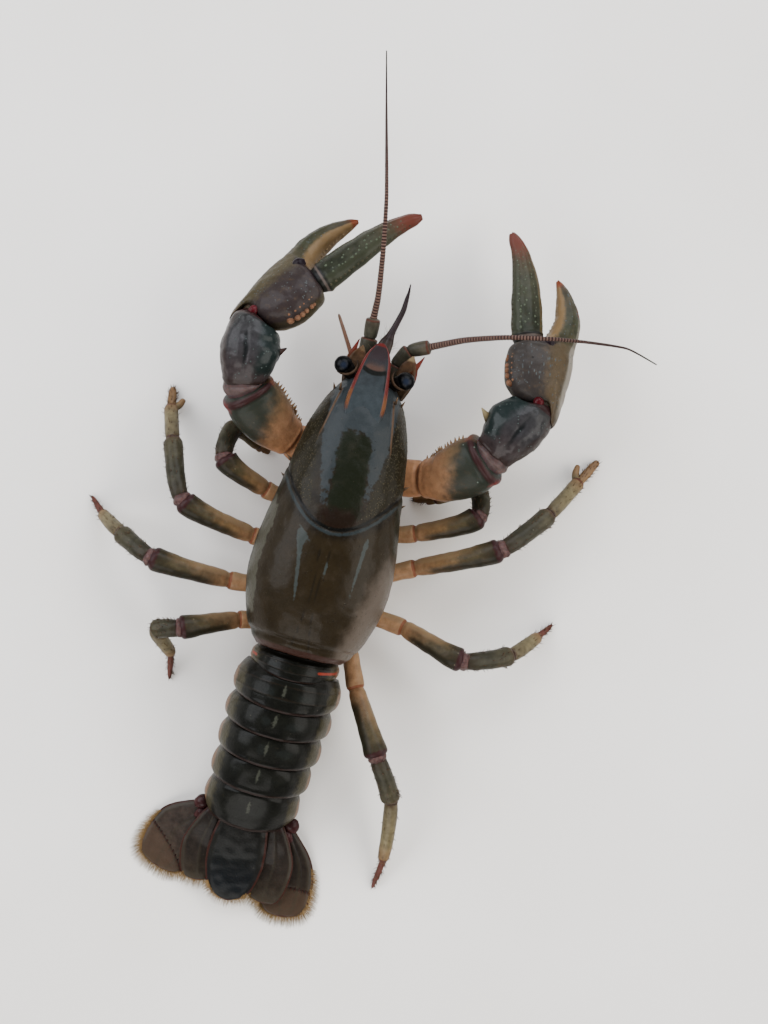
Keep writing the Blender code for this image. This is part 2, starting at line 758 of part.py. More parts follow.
class ClawPose:
    """Where one claw's joints lie and which way its hand points."""

    def __init__(self, side, arm, wrist, heading, pitch, roll, size):
        self.side = side
        self.name = "left" if side < 0 else "right"
        self.arm = [Vector(place) for place in arm]
        self.wrist = [Vector(place) for place in wrist]
        self.hand = self.wrist[-1]
        self.size = size
        turn, dip, roll = math.radians(heading), math.radians(pitch), math.radians(roll)
        self.along = Vector((math.cos(turn) * math.cos(dip), math.sin(turn) * math.cos(dip), math.sin(dip)))
        inward = Vector((-side * math.sin(turn), side * math.cos(turn), 0))
        upward = self.along.cross(inward) * side
        self.inward = inward * math.cos(roll) + upward * math.sin(roll)
        self.outward_face = upward * math.cos(roll) - inward * math.sin(roll)

    def place(self, along, inward, out=0.0):
        """A point of the hand from its distance along, towards the midline and off its flat side."""
        step = self.along * along + self.inward * inward + self.outward_face * out
        return self.hand + step * self.size

    def rings(self, stations, sides, squareness, heel=0.0):
        """Rings through stations of the hand, their outer end swept back beside the wrist by the heel."""
        outline = superellipse(sides, squareness)
        back = (self.inward * HEEL_LEAN - self.along) * self.size
        rings = []
        for along, inward, half_width, half_height, turn in stations:
            angle = math.radians(turn)
            across = self.inward * math.cos(angle) - self.along * math.sin(angle)
            centre = self.place(along, inward)
            wide, high = half_width * self.size, half_height * self.size
            swept = heel * ease(along, HEEL_START, HEEL_FULL) * ease(along, HEEL_END, HEEL_FULL)
            ring = tube_ring(centre, across, self.outward_face, wide, high, outline)
            shares = [ease(-a, HEEL_INNER, HEEL_OUTER) for a, _ in outline]
            rings.append([point + back * (swept * share) for point, share in zip(ring, shares)])
        return rings


# How far the hand's heel sweeps back beside the wrist, how it leans towards the midline, and where.
HEEL = 3.6
HEEL_LEAN = 0.42
HEEL_START = 0.45
HEEL_FULL = 1.6
HEEL_END = 8.0
HEEL_INNER = 0.45
HEEL_OUTER = 0.95

# The hand with its fixed finger: distance along, towards the midline, half width, half height, turn.
HAND = (
    (0.45, 0.0, 2.1, 2.0, 0),
    (0.85, -0.1, 3.0, 2.5, -4),
    (1.4, -0.2, 4.1, 2.9, -8),
    (2.4, -0.1, 4.8, 3.2, -8),
    (3.8, 0.0, 5.1, 3.45, -6),
    (5.2, 0.05, 5.15, 3.5, -4),
    (7.0, 0.05, 5.15, 3.4, 0),
    (8.75, -0.1, 4.85, 3.15, 0),
    (10.4, -2.1, 2.95, 2.5, 0),
    (12.4, -3.1, 2.25, 2.1, 0),
    (14.8, -3.4, 1.9, 1.75, 3),
    (17.0, -3.0, 1.5, 1.4, 10),
    (18.7, -2.3, 1.05, 1.0, 20),
    (19.9, -1.65, 0.65, 0.62, 28),
    (20.6, -1.2, 0.25, 0.25, 33),
)

# The moving finger, in the same columns.
FINGER = (
    (10.3, 2.45, 1.85, 1.8, 16),
    (11.6, 2.65, 2.3, 1.9, 12),
    (13.8, 2.9, 2.4, 1.8, 10),
    (16.6, 3.35, 2.25, 1.65, 10),
    (19.5, 3.9, 1.95, 1.5, 12),
    (22.0, 4.6, 1.6, 1.25, 17),
    (24.0, 5.45, 1.25, 1.05, 25),
    (25.4, 6.3, 0.9, 0.8, 30),
    (26.3, 6.9, 0.45, 0.42, 33),
)

CLAWS = (
    ClawPose(
        -1,
        [(-STERNUM_HALF_WIDTH, 4.6, 5.6), (-7.4, 6.0, 6.2), (-11.6, 7.6, 8.6), (-17.2, 12.2, 12.2)],
        [(-17.2, 12.2, 12.2), (-17.6, 16.4, 13.2), (-17.7, 21.1, 12.4)],
        58.5,
        -11,
        42,
        1.0,
    ),
    ClawPose(
        1,
        [(STERNUM_HALF_WIDTH, 4.6, 5.6), (8.6, 5.6, 6.4), (13.1, 6.9, 9.0), (18.8, 11.7, 12.4)],
        [(18.8, 11.7, 12.4), (20.5, 15.5, 13.3), (22.7, 19.4, 12.8)],
        97,
        -17,
        15,
        0.95,
    ),
)

ARM_PROFILE = (
    (0, 2.0, 1.9),
    (0.6, 2.5, 2.1),
    (1.0, 2.7, 2.25),
    (1.35, 2.5, 2.15),
    (1.7, 3.1, 2.6),
    (2.1, 3.65, 3.0),
    (2.45, 4.1, 3.2),
    (2.7, 4.0, 3.1),
    (2.87, 2.85, 2.6),
    (3, 2.25, 2.1),
)

WRIST_PROFILE = (
    (0, 2.2, 2.1),
    (0.28, 3.0, 2.7),
    (0.6, 3.65, 3.25),
    (1, 4.05, 3.45),
    (1.4, 3.85, 3.35),
    (1.75, 2.8, 2.65),
    (2, 2.1, 2.0),
)


def arm_tangents(pose):
    """Directions along the arm and wrist, which share the joint between them."""
    whole = pose.arm + pose.wrist[1:]
    return joint_tangents(whole, first=Vector((pose.side, 0, 0)), last=pose.along)


def make_claw(pose, materials, head):
    """Arm, wrist, hand and moving finger of one claw."""
    draw = random.Random(RANDOM_SEED)
    tangents = arm_tangents(pose)
    bend = len(pose.arm) - 1
    arm_rings = limb_rings(pose.arm, tangents[: bend + 1], ARM_PROFILE, 14, trims=(2, 1))
    arm = mesh_object(f"claw_{pose.name}_arm", arm_rings, materials["arm"])
    teeth = []
    for step in range(7):
        station = (1.9 + 0.15 * step, 3.5 + 0.05 * step, 3.0)
        ring = limb_rings(pose.arm, tangents[: bend + 1], [station] * 2, 14, trims=(0, 0))[0]
        place = max(ring, key=lambda point: point.y)
        middle = sum(ring, Vector()) / len(ring)
        teeth.append(spike(place, place - middle, 0.6 + draw.uniform(-0.1, 0.2), 0.32))
    fuse(arm, teeth)
    trim(arm, [head])
    wrist_rings = limb_rings(pose.wrist, tangents[bend:], WRIST_PROFILE, 14)
    wrist = mesh_object(f"claw_{pose.name}_wrist", wrist_rings, materials["claw"])
    inner_spine = pose.wrist[1] + Vector((-pose.side * 3.2, 1.0, 0.6))
    fuse(wrist, [spike(inner_spine, Vector((-pose.side, 0.9, 0.1)), 1.5, 0.6, 5)])
    hand = mesh_object(f"claw_{pose.name}_hand", pose.rings(HAND, 16, 2.4, HEEL), materials["claw"])
    tubercles = []
    for step in range(7):
        along = 2.3 + 0.85 * step
        edge = 4.1 + 0.7 * math.sin(math.pi * (step + 1) / 9)
        base = pose.place(along, edge, 0.5)
        away = pose.inward + pose.outward_face * 0.25
        tubercles.append(spike(base, away, 0.75 + draw.uniform(-0.1, 0.15), 0.42, 5))
        if step % 2:
            base = pose.place(along, edge - 0.75, 1.7)
            away = pose.inward * 0.7 + pose.outward_face
            tubercles.append(spike(base, away, 0.6, 0.36, 5))
    fuse(hand, tubercles)
    finger = mesh_object(f"claw_{pose.name}_finger", pose.rings(FINGER, 14, 2.2), materials["claw"])
    for piece in (arm, wrist, hand, finger):
        shade_round(piece)
    return [arm, wrist, hand, finger]


# Each walking leg: root, ischium joint, knee, far end of the shin, start of the claw and its tip.
LEGS = {
    "leg_left_1": (
        (-8.0, -1.8, 5.0), (-10.8, -1.3, 5.8), (-17.5, 1.6, 8.6),
        (-17.4, 5.9, 5.6), (-13.7, 4.7, 1.9), (-12.1, 4.0, 0.1),
    ),
    "leg_left_2": (
        (-7.2, -8.3, 5.0), (-10.9, -8.1, 5.9), (-21.5, -5.7, 9.8),
        (-25.4, 2.1, 6.0), (-27.3, 6.6, 1.6), (-27.9, 9.4, 0.1),
    ),
    "leg_left_3": (
        (-7.0, -14.5, 5.0), (-12.4, -15.1, 5.9), (-23.8, -14.7, 9.5),
        (-29.0, -12.7, 6.2), (-32.9, -10.8, 1.6), (-35.1, -8.9, 0.1),
    ),
    "leg_left_4": (
        (-6.0, -19.4, 4.9), (-9.6, -20.2, 5.8), (-17.3, -23.3, 9.5),
        (-20.3, -24.4, 8.2), (-18.0, -27.8, 2.0), (-17.4, -31.5, 0.1),
    ),
    "leg_right_1": (
        (8.0, -2.8, 5.0), (11.4, -1.8, 5.7), (19.4, 3.0, 8.0),
        (18.2, 6.6, 5.0), (13.0, 3.9, 1.9), (9.9, 2.9, 0.1),
    ),
    "leg_right_2": (
        (7.6, -8.9, 5.0), (12.6, -6.6, 5.9), (23.7, -0.7, 9.8),
        (29.1, 5.8, 6.0), (32.3, 11.5, 1.7), (34.3, 15.2, 0.1),
    ),
    "leg_right_3": (
        (7.6, -14.6, 5.0), (13.2, -15.2, 5.9), (22.6, -17.3, 9.5),
        (29.0, -15.0, 6.0), (32.5, -11.5, 1.7), (34.1, -9.4, 0.1),
    ),
    "leg_right_4": (
        (6.3, -19.9, 4.9), (9.0, -25.2, 5.8), (14.5, -33.7, 8.7),
        (18.0, -39.4, 6.0), (19.3, -48.6, 1.7), (18.9, -53.0, 0.1),
    ),
}
COXA_PLACES = (-1.3, -7.2, -12.7, -18.1)

UPPER_PROFILE = (
    (0, 1.1, 1.05),
    (0.4, 1.12, 1.1),
    (0.85, 1.0, 1.0),
    (1.05, 0.72, 0.75),
    (1.5, 0.8, 0.85),
    (1.9, 0.84, 0.9),
    (2.05, 0.76, 0.8),
    (2.2, 0.86, 0.95),
    (2.6, 1.0, 1.12),
    (2.85, 1.03, 1.12),
    (3, 0.72, 0.78),
)
SHIN_PROFILE = ((0, 0.72, 0.76), (0.2, 0.84, 0.88), (0.6, 0.88, 0.92), (0.85, 0.85, 0.9), (1, 0.6, 0.64))
FOOT_PROFILE = (
    (0, 0.58, 0.62),
    (0.15, 0.68, 0.74),
    (0.6, 0.66, 0.7),
    (0.9, 0.56, 0.58),
    (1.02, 0.36, 0.38),
    (1.3, 0.36, 0.38),
    (1.7, 0.26, 0.28),
    (2, 0.12, 0.14),
)


def make_leg(name, places, number, materials, head):
    """Upper leg, shin and foot of one walking leg."""
    side = math.copysign(1, places[0][0])
    root = Vector((side * STERNUM_HALF_WIDTH, COXA_PLACES[number - 1], COXA_LEVEL))
    joints = [root] + [Vector(place) for place in places]
    tangents = joint_tangents(joints, first=Vector((side, 0, 0)))
    knee, ankle = 3, 4
    made = []
    spans = (
        ("upper", 0, knee, UPPER_PROFILE, (2, 1), materials["arm"]),
        ("shin", knee, ankle, SHIN_PROFILE, (1, 1), materials["leg"]),
        ("foot", ankle, len(joints) - 1, FOOT_PROFILE, (1, 0), materials["foot"]),
    )
    for part, start, end, shape, trims, material in spans:
        profile = [(along, wide * LEG_WIDTH, high * LEG_WIDTH) for along, wide, high in shape]
        rings = limb_rings(joints[start : end + 1], tangents[start : end + 1], profile, 10, trims=trims)
        piece = mesh_object(f"{name}_{part}", rings, material)
        if part == "upper":
            trim(piece, [head])
        if part == "foot":
            if number < 3:
                fuse(piece, [pincer(joints[-2], joints[-1])])
            settle(piece)
        shade_round(piece)
        made.append(piece)
    return made


def pincer(wrist, tip):
    """The second finger of a small pincer, beside the first."""
    along = tip - wrist
    beside = along.cross(Vector((0, 0, 1))).normalized()
    start = wrist - along.normalized() * 0.8
    joints = [start, wrist + along * 0.45 + beside * 0.75, tip - along * 0.12 + beside * 0.55]
    profile = [(0, 0.35, 0.4), (0.7, 0.4, 0.42), (1.3, 0.32, 0.34), (2, 0.15, 0.15)]
    return mesh_object("pincer", limb_rings(joints, joint_tangents(joints), profile, 6))


def place_body(pieces):
    """Parent every piece to one empty that sets the animal over the middle of its own footprint."""
    root = bpy.data.objects.new("animal", None)
    root.location = (BODY_OFFSET[0] * MM, BODY_OFFSET[1] * MM, 0)
    bpy.context.scene.collection.objects.link(root)
    for piece in pieces:
        piece.parent = root


def main():
    clear_scene()
    materials = make_materials()
    head = carapace_solid("head_cutter", grow=GAP)
    pieces = list(make_carapace(materials))
    pieces.append(make_sternum(materials))
    pieces += make_abdomen(materials)
    pieces += make_tail_fan(materials)
    for side in (-1, 1):
        pieces.append(make_eye(side, materials, head))
    pieces += make_feelers(materials, head)
    pieces += make_maxillipeds(materials, head)
    for pose in CLAWS:
        pieces += make_claw(pose, materials, head)
    for name, places in LEGS.items():
        pieces += make_leg(name, places, int(name[-1]), materials, head)
    bpy.data.objects.remove(head)
    place_body(pieces)


main()
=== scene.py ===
"""The looks of a still, life-size paintedhand mudbug that stands with its open claws held forward.

Sizes are in millimetres in the body's own frame, until a mesh is made: the midline is x = 0,
+Y is the head, +Z is up and the floor is z = 0. Left and right are the animal's own.
"""

import logging
import math
import random
from collections.abc import Sequence
from dataclasses import dataclass
from enum import Enum

import bpy
import numpy as np
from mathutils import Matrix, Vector, noise


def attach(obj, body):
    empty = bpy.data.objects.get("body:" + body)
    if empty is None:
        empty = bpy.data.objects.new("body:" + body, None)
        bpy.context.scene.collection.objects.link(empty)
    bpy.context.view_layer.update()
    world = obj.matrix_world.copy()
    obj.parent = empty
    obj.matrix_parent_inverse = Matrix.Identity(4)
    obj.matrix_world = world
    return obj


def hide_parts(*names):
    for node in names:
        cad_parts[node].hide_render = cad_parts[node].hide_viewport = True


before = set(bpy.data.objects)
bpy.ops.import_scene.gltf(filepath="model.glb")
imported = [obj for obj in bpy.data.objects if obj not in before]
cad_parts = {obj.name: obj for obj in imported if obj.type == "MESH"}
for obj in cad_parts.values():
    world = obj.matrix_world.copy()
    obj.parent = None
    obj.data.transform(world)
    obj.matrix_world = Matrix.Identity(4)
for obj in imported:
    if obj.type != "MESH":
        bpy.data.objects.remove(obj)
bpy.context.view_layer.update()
LOG = logging.getLogger("mudbug")

MM = 0.001
BODY_OFFSET = np.array([-1.55, -1.48, 0.0])
FLOOR = 0.0
WET_DEPTH = 0.3

Table = Sequence[Sequence[float]]
Places = Sequence[tuple[float, float, float]]
Stops = tuple[tuple[float, str], ...]
Spot = tuple[Vector, Vector, Vector]
Socket = bpy.types.NodeSocket


class Side(Enum):
    """The animal's own sides, with the sign of x on each."""

    LEFT = -1
    RIGHT = 1

    @property
    def label(self) -> str:
        """The side's name as the pieces spell it."""
        return self.name.lower()


def smooth_step(value: np.ndarray, low: float, high: float) -> np.ndarray:
    """An eased ramp.

    Args:
        value: What is tested.
        low: Where the ramp is 0.
        high: Where the ramp is 1. It may be below low, which turns the ramp round.

    Returns:
        Values from 0 to 1.
    """
    share = np.clip((value - low) / (high - low), 0.0, 1.0)
    return share * share * (3 - 2 * share)


def bell(value: np.ndarray, middle: float, width: float) -> np.ndarray:
    """A rounded bump of height 1 about a middle.

    Args:
        value: What is tested.
        middle: Where the bump peaks.
        width: The distance at which it has fallen to about a third.

    Returns:
        Values from 0 to 1.
    """
    return np.exp(-(((value - middle) / width) ** 2))


def read_table(table: Table, at: np.ndarray) -> np.ndarray:
    """The columns of a table at many places, on smooth curves through its rows.

    Args:
        table: Rows that start with their place.
        at: The places that are asked for.

    Returns:
        One row for each place, without the place itself.
    """
    rows = np.array(table, float)
    places, values = rows[:, 0], rows[:, 1:]
    at = np.clip(np.asarray(at, float), places[0], places[-1])
    last = len(places) - 1
    index = np.clip(np.searchsorted(places, at, side="left") - 1, 0, last - 1)
    before, after = np.maximum(index - 1, 0), np.minimum(index + 2, last)
    span = (places[index + 1] - places[index])[:, None]
    share = (at - places[index])[:, None] / span
    slope_in = (values[index + 1] - values[before]) / (places[index + 1] - places[before])[:, None] * span
    slope_out = (values[after] - values[index]) / (places[after] - places[index])[:, None] * span
    square, cube = share**2, share**3
    return (
        (2 * cube - 3 * square + 1) * values[index]
        + (cube - 2 * square + share) * slope_in
        + (3 * square - 2 * cube) * values[index + 1]
        + (cube - square) * slope_out
    )


def signed_power(value: np.ndarray, exponent: float) -> np.ndarray:
    """A power that keeps the sign of what it is given."""
    return np.sign(value) * np.abs(value) ** exponent


def outline(columns: int, squareness: float = 2.2) -> np.ndarray:
    """Unit points round a rounded-square outline.

    Args:
        columns: How many points.
        squareness: 2 for a circle, more for a squarer shape.

    Returns:
        The points, one row each.
    """
    angle = 2 * np.pi * (np.arange(columns) + 0.5) / columns
    power = 2 / squareness
    return np.stack([signed_power(np.cos(angle), power), signed_power(np.sin(angle), power)], 1)


class Skin:
    """A closed surface through rings of equal count, which can be pushed, asked for places and built."""

    def __init__(self, rings: np.ndarray) -> None:
        """Keep the rings and close both ends.

        Args:
            rings: Rows of rings, columns round each, and x, y, z in millimetres.
        """
        rings = np.asarray(rings, float)
        first = np.repeat(rings[:1].mean(axis=1, keepdims=True), rings.shape[1], axis=1)
        last = np.repeat(rings[-1:].mean(axis=1, keepdims=True), rings.shape[1], axis=1)
        near_first = rings[:1] * 0.45 + first * 0.55
        near_last = rings[-1:] * 0.45 + last * 0.55
        self.rings = np.concatenate([first, near_first, rings, near_last, last])
        rows, columns = self.rings.shape[:2]
        self.along = np.repeat(np.linspace(0, 1, rows)[:, None], columns, axis=1)
        self.masks: dict[str, np.ndarray] = {}

    @property
    def x(self) -> np.ndarray:
        """Distance to the animal's right."""
        return self.rings[..., 0]

    @property
    def y(self) -> np.ndarray:
        """Distance towards the head."""
        return self.rings[..., 1]

    @property
    def z(self) -> np.ndarray:
        """Height over the floor."""
        return self.rings[..., 2]

    def normals(self) -> np.ndarray:
        """Unit directions out of the surface, ring by ring.

        Returns:
            One direction for each point.
        """
        onward = np.gradient(self.rings, axis=0)
        around = np.roll(self.rings, -1, axis=1) - np.roll(self.rings, 1, axis=1)
        cross = np.cross(around, onward)
        length = np.linalg.norm(cross, axis=2, keepdims=True)
        cross = cross / np.maximum(length, 1e-9)
        middle = self.rings.mean(axis=1, keepdims=True)
        if ((self.rings - middle) * cross).sum() < 0:
            cross = -cross
        return cross

    def push(self, amount: np.ndarray) -> None:
        """Move the surface out by an amount at each point, keeping the two end points still.

        Args:
            amount: How far out each point moves, in millimetres.
        """
        amount = np.broadcast_to(amount, self.rings.shape[:2]).copy()
        amount[0] = amount[-1] = 0
        self.rings = self.rings + self.normals() * amount[..., None]

    def roughen(self, height: float, size: float, seed: float = 0.0) -> None:
        """Push the surface by soft noise.

        Args:
            height: The most that it moves.
            size: The distance from one swelling to the next.
            seed: Shifts the pattern.
        """
        flat = self.rings.reshape(-1, 3) / size + seed
        values = np.array([noise.noise(Vector(place)) for place in flat])
        self.push(values.reshape(self.rings.shape[:2]) * height)

    def settle(self) -> None:
        """Lay whatever reaches below the floor flat on it."""
        self.rings[..., 2] = np.maximum(self.rings[..., 2], FLOOR)

    def sample(self, row: float, column: float) -> tuple[Vector, Vector, Vector]:
        """A place on the surface.

        Args:
            row: Share of the way along.
            column: Share of the way round.

        Returns:
            The place, the direction out of the surface and the direction along it.
        """
        rows, columns = self.rings.shape[:2]
        r = min(max(row, 0.0), 0.9999) * (rows - 1)
        c = (column % 1.0) * columns
        r0, c0 = int(r), int(c)
        fr, fc = r - r0, c - c0
        grid, out = self.rings, self.sampled_normals()
        corners = ((r0, c0, (1 - fr) * (1 - fc)), (r0, c0 + 1, (1 - fr) * fc))
        corners += ((r0 + 1, c0, fr * (1 - fc)), (r0 + 1, c0 + 1, fr * fc))
        place, normal = np.zeros(3), np.zeros(3)
        for a, b, weight in corners:
            place += grid[a, b % columns] * weight
            normal += out[a, b % columns] * weight
        onward = grid[min(r0 + 1, rows - 1), c0 % columns] - grid[r0, c0 % columns]
        return Vector(place), Vector(normal).normalized(), Vector(onward).normalized()

    def chart(self, section: np.ndarray, stations: np.ndarray) -> None:
        """Set masks for each point's place across and over its section, and for its station.

        Args:
            section: The unit section, one row for each point round it.
            stations: The station of each ring between the closed ends.
        """
        whole = self.rings.shape[:2]
        self.masks["across"] = np.broadcast_to(section[:, 0], whole)
        self.masks["over"] = np.broadcast_to(section[:, 1], whole)
        self.masks["station"] = np.broadcast_to(np.pad(stations, 2, mode="edge")[:, None], whole)

    def row_of(self, station: float) -> float:
        """The share of the way along at which a station lies."""
        stations = self.masks["station"][:, 0]
        return float(np.interp(station, stations, np.linspace(0, 1, len(stations))))

    def sampled_normals(self) -> np.ndarray:
        """The normals, worked out once for many samples of a finished surface.

        Returns:
            One direction for each point.
        """
        key = float(self.rings.sum())
        if getattr(self, "_key", None) != key:
            self._key, self._normals = key, self.normals()
        return self._normals

    def build(self, name: str) -> bpy.types.Object:
        """Model the surface: a grid laid round the rings, its seam and its poles merged.

        Args:
            name: The piece's name.

        Returns:
            The piece, in metres, with its masks as attributes.
        """
        rows, columns = self.rings.shape[:2]
        bpy.ops.object.select_all(action="DESELECT")
        bpy.ops.mesh.primitive_grid_add(x_subdivisions=columns, y_subdivisions=rows - 1, size=1)
        made = bpy.context.object
        made.name = made.data.name = name
        wrapped = np.concatenate([self.rings, self.rings[:, :1]], axis=1)
        made.data.vertices.foreach_set("co", ((wrapped + BODY_OFFSET) * MM).ravel())
        for label, values in {"along": self.along, **self.masks}.items():
            values = np.concatenate([values, values[:, :1]], axis=1)
            attribute = made.data.attributes.new(label, "FLOAT", "POINT")
            attribute.data.foreach_set("value", values.astype(np.float32).ravel())
        bpy.ops.object.mode_set(mode="EDIT")
        bpy.ops.mesh.select_all(action="SELECT")
        bpy.ops.mesh.remove_doubles(threshold=1e-6)
        bpy.ops.mesh.normals_make_consistent(inside=False)
        bpy.ops.object.mode_set(mode="OBJECT")
        bpy.ops.object.shade_smooth()
        return made


class Template(Enum):
    """The small shapes that are modelled once and copied many times."""

    GRAIN = "grain"
    SPINE = "spine"
    HAIR = "hair"


def model_template(kind: Template) -> tuple[np.ndarray, list[tuple[int, ...]]]:
    """Model one small shape with its root at the origin, 1 wide and 1 high along +Z.

    Args:
        kind: Which shape.

    Returns:
        Its points and its faces.
    """
    bpy.ops.object.select_all(action="DESELECT")
    if kind is Template.GRAIN:
        bpy.ops.mesh.primitive_uv_sphere_add(segments=8, ring_count=5, radius=1.0)
    elif kind is Template.SPINE:
        bpy.ops.mesh.primitive_cone_add(
            vertices=6, radius1=1.0, radius2=0.12, depth=1.4, location=(0, 0, 0.3)
        )
    else:
        bpy.ops.mesh.primitive_cone_add(
            vertices=3, radius1=1.0, radius2=0.1, depth=1.1, location=(0, 0, 0.45)
        )
    made = bpy.context.object
    bpy.ops.object.transform_apply(location=True)
    if kind is not Template.GRAIN:
        bpy.ops.object.mode_set(mode="EDIT")
        bpy.ops.mesh.select_all(action="SELECT")
        middle = 0.35
        bpy.ops.mesh.bisect(plane_co=(0, 0, middle), plane_no=(0, 0, 1))
        bpy.ops.transform.resize(value=(1.15, 1.15, 1.0), center_override=(0, 0, middle))
        bpy.ops.object.mode_set(mode="OBJECT")
    points = np.array([vertex.co for vertex in made.data.vertices])
    faces = [tuple(face.vertices) for face in made.data.polygons]
    bpy.data.objects.remove(made)
    return points, faces


@dataclass
class Seat:
    """Where one small shape sits: its root, its axis, its sizes, and its place on the skin's unwrap."""

    place: Vector
    axis: Vector
    width: float
    height: float
    breadth: float = 0.0
    forward: Vector | None = None
    bend: float = 0.0
    patch: tuple[float, float] = (0.5, 0.5)


class Scatter:
    """Many copies of one small shape in one mesh, each with its own root."""

    PATCH = 0.003

    def __init__(self, kind: Template) -> None:
        """Model the shape that is copied.

        Args:
            kind: Which shape.
        """
        self.points, self.faces = model_template(kind)
        self.seats: list[Seat] = []

    def add(self, seat: Seat) -> None:
        """Set one more copy."""
        self.seats.append(seat)

    def stud(self, spot: Spot, size: float, rise: float, stretch: float = 0.0, sunk: float = 0.35) -> None:
        """Set one grain on a surface, a little sunk in.

        Args:
            spot: Its place on the surface, the direction out of it and the one along it.
            size: Half the grain's width.
            rise: Its height as a share of its size.
            stretch: Its length along the surface as a share of its size, or 0 for a round one.
            sunk: How far it is sunk in, as a share of its size.
        """
        place, out, onward = spot
        forward = onward if stretch else None
        self.add(Seat(place - out * size * sunk, out, size, size * rise, size * stretch, forward))

    def build(self, name: str, baked: bool = False) -> bpy.types.Object:
        """Join the copies in one mesh.

        Args:
            name: The piece's name.
            baked: True for hair, which gets a map with a small patch for each tuft.

        Returns:
            The piece, in metres.
        """
        count = len(self.points)
        places, faces, spots, shares = [], [], [], []
        for number, seat in enumerate(self.seats):
            axis = seat.axis.normalized()
            ahead = seat.forward or axis.orthogonal()
            across = axis.cross(ahead).normalized()
            ahead = across.cross(axis).normalized()
            turn = np.array([across, ahead, axis])
            breadth = seat.breadth or seat.width
            local = self.points * (seat.width, breadth, seat.height)
            local[:, 1] += seat.bend * seat.height * np.clip(self.points[:, 2], 0, 1) ** 2
            places.append(local @ turn + np.array(seat.place))
            faces += [tuple(index + number * count for index in face) for face in self.faces]
            spots.append(self.points[:, [0, 2]] * (self.PATCH / 3) + seat.patch)
            shares.append(np.clip(self.points[:, 2], 0, 1))
        mesh = bpy.data.meshes.new(name)
        mesh.from_pydata((np.concatenate(places) + BODY_OFFSET) * MM, [], faces)
        made = bpy.data.objects.new(name, mesh)
        bpy.context.scene.collection.objects.link(made)
        tip = mesh.attributes.new("along", "FLOAT", "POINT")
        tip.data.foreach_set("value", np.concatenate(shares).astype(np.float32))
        if baked:
            layer = mesh.uv_layers.new(name="OFBake")
            spots = np.concatenate(spots)
            corners = np.empty(len(mesh.loops), np.int32)
            mesh.loops.foreach_get("vertex_index", corners)
            layer.data.foreach_set("uv", spots[corners].astype(np.float32).ravel())
        mesh.shade_smooth()
        return made


@dataclass
class Line:
    """A limb's line through its joints, bending near each, with an oval section that varies along it."""

    joints: Places
    profile: Table
    first: tuple[float, float, float] | None = None
    last: tuple[float, float, float] | None = None
    squareness: float = 2.2

    def tangents(self) -> list[Vector]:
        """The direction at each joint, halfway between the lengths on either side.

        Returns:
            One unit direction for each joint.
        """
        joints = [Vector(place) for place in self.joints]
        found = []
        for index, here in enumerate(joints):
            before = joints[max(index - 1, 0)]
            after = joints[min(index + 1, len(joints) - 1)]
            arriving = (here - before).normalized() if index else (after - here).normalized()
            leaving = (after - here).normalized() if index < len(joints) - 1 else arriving
            found.append((arriving + leaving).normalized())
        if self.first is not None:
            found[0] = Vector(self.first).normalized()
        if self.last is not None:
            found[-1] = Vector(self.last).normalized()
        return found

    def at(self, along: float, tension: float = 0.6) -> tuple[Vector, Vector]:
        """Place and direction at a joint number with its share.

        Args:
            along: A joint's number, and the share of the way to the next.
            tension: How far each end's direction reaches into a length.

        Returns:
            The place on the line and the direction there.
        """
        tangents = self.tangents()
        index = min(int(along), len(self.joints) - 2)
        share = along - index
        start, end = Vector(self.joints[index]), Vector(self.joints[index + 1])
        pull = (end - start).length * tension
        leaving, arriving = tangents[index] * pull, tangents[index + 1] * pull
        square, cube = share**2, share**3
        place = start * (2 * cube - 3 * square + 1) + leaving * (cube - 2 * square + share)
        place += end * (3 * square - 2 * cube) + arriving * (cube - square)
        way = start * (6 * square - 6 * share) + leaving * (3 * square - 4 * share + 1)
        way += end * (6 * share - 6 * square) + arriving * (3 * square - 2 * share)
        return place, way.normalized()

    def skin(self, start: float, end: float, rows: int, columns: int, crowd: float = 1.0) -> Skin:
        """The closed surface of one stretch of the limb.

        Args:
            start: Where the stretch starts, as a joint's number with its share.
            end: Where it ends.
            rows: Rings along it.
            columns: Points round it.
            crowd: Over 1 where the rings stand closer towards the end.

        Returns:
            The surface, with masks for its place across (-1 to 1) and over (-1 to 1), and its station.
        """
        stations = start + (end - start) * (1 - (1 - np.linspace(0, 1, rows)) ** crowd)
        sizes = read_table(self.profile, stations)
        round_points = outline(columns, self.squareness)
        rings = []
        for station, (half_width, half_height) in zip(stations, sizes):
            place, way = self.at(float(station))
            across = way.cross(Vector((0, 0, 1)))
            across = across.normalized() if across.length > 0.05 else Vector((1, 0, 0))
            upward = across.cross(way).normalized()
            ring = np.array(place) + np.outer(round_points[:, 0] * half_width, across)
            rings.append(ring + np.outer(round_points[:, 1] * half_height, upward))
        skin = Skin(np.array(rings))
        skin.chart(round_points, stations)
        return skin


def linear(colour: str) -> tuple[float, float, float, float]:
    """An sRGB hex colour as the linear values that a shader takes."""
    parts = [int(colour[index : index + 2], 16) / 255 for index in (1, 3, 5)]
    return (*(part / 12.92 if part <= 0.04045 else ((part + 0.055) / 1.055) ** 2.4 for part in parts), 1.0)


def wet(colour: str, depth: float = WET_DEPTH) -> tuple[float, float, float, float]:
    """A shell colour under its film of water, which makes it read deeper than the same shell dry."""
    red, green, blue, alpha = linear(colour)
    return red * depth, green * depth, blue * depth, alpha


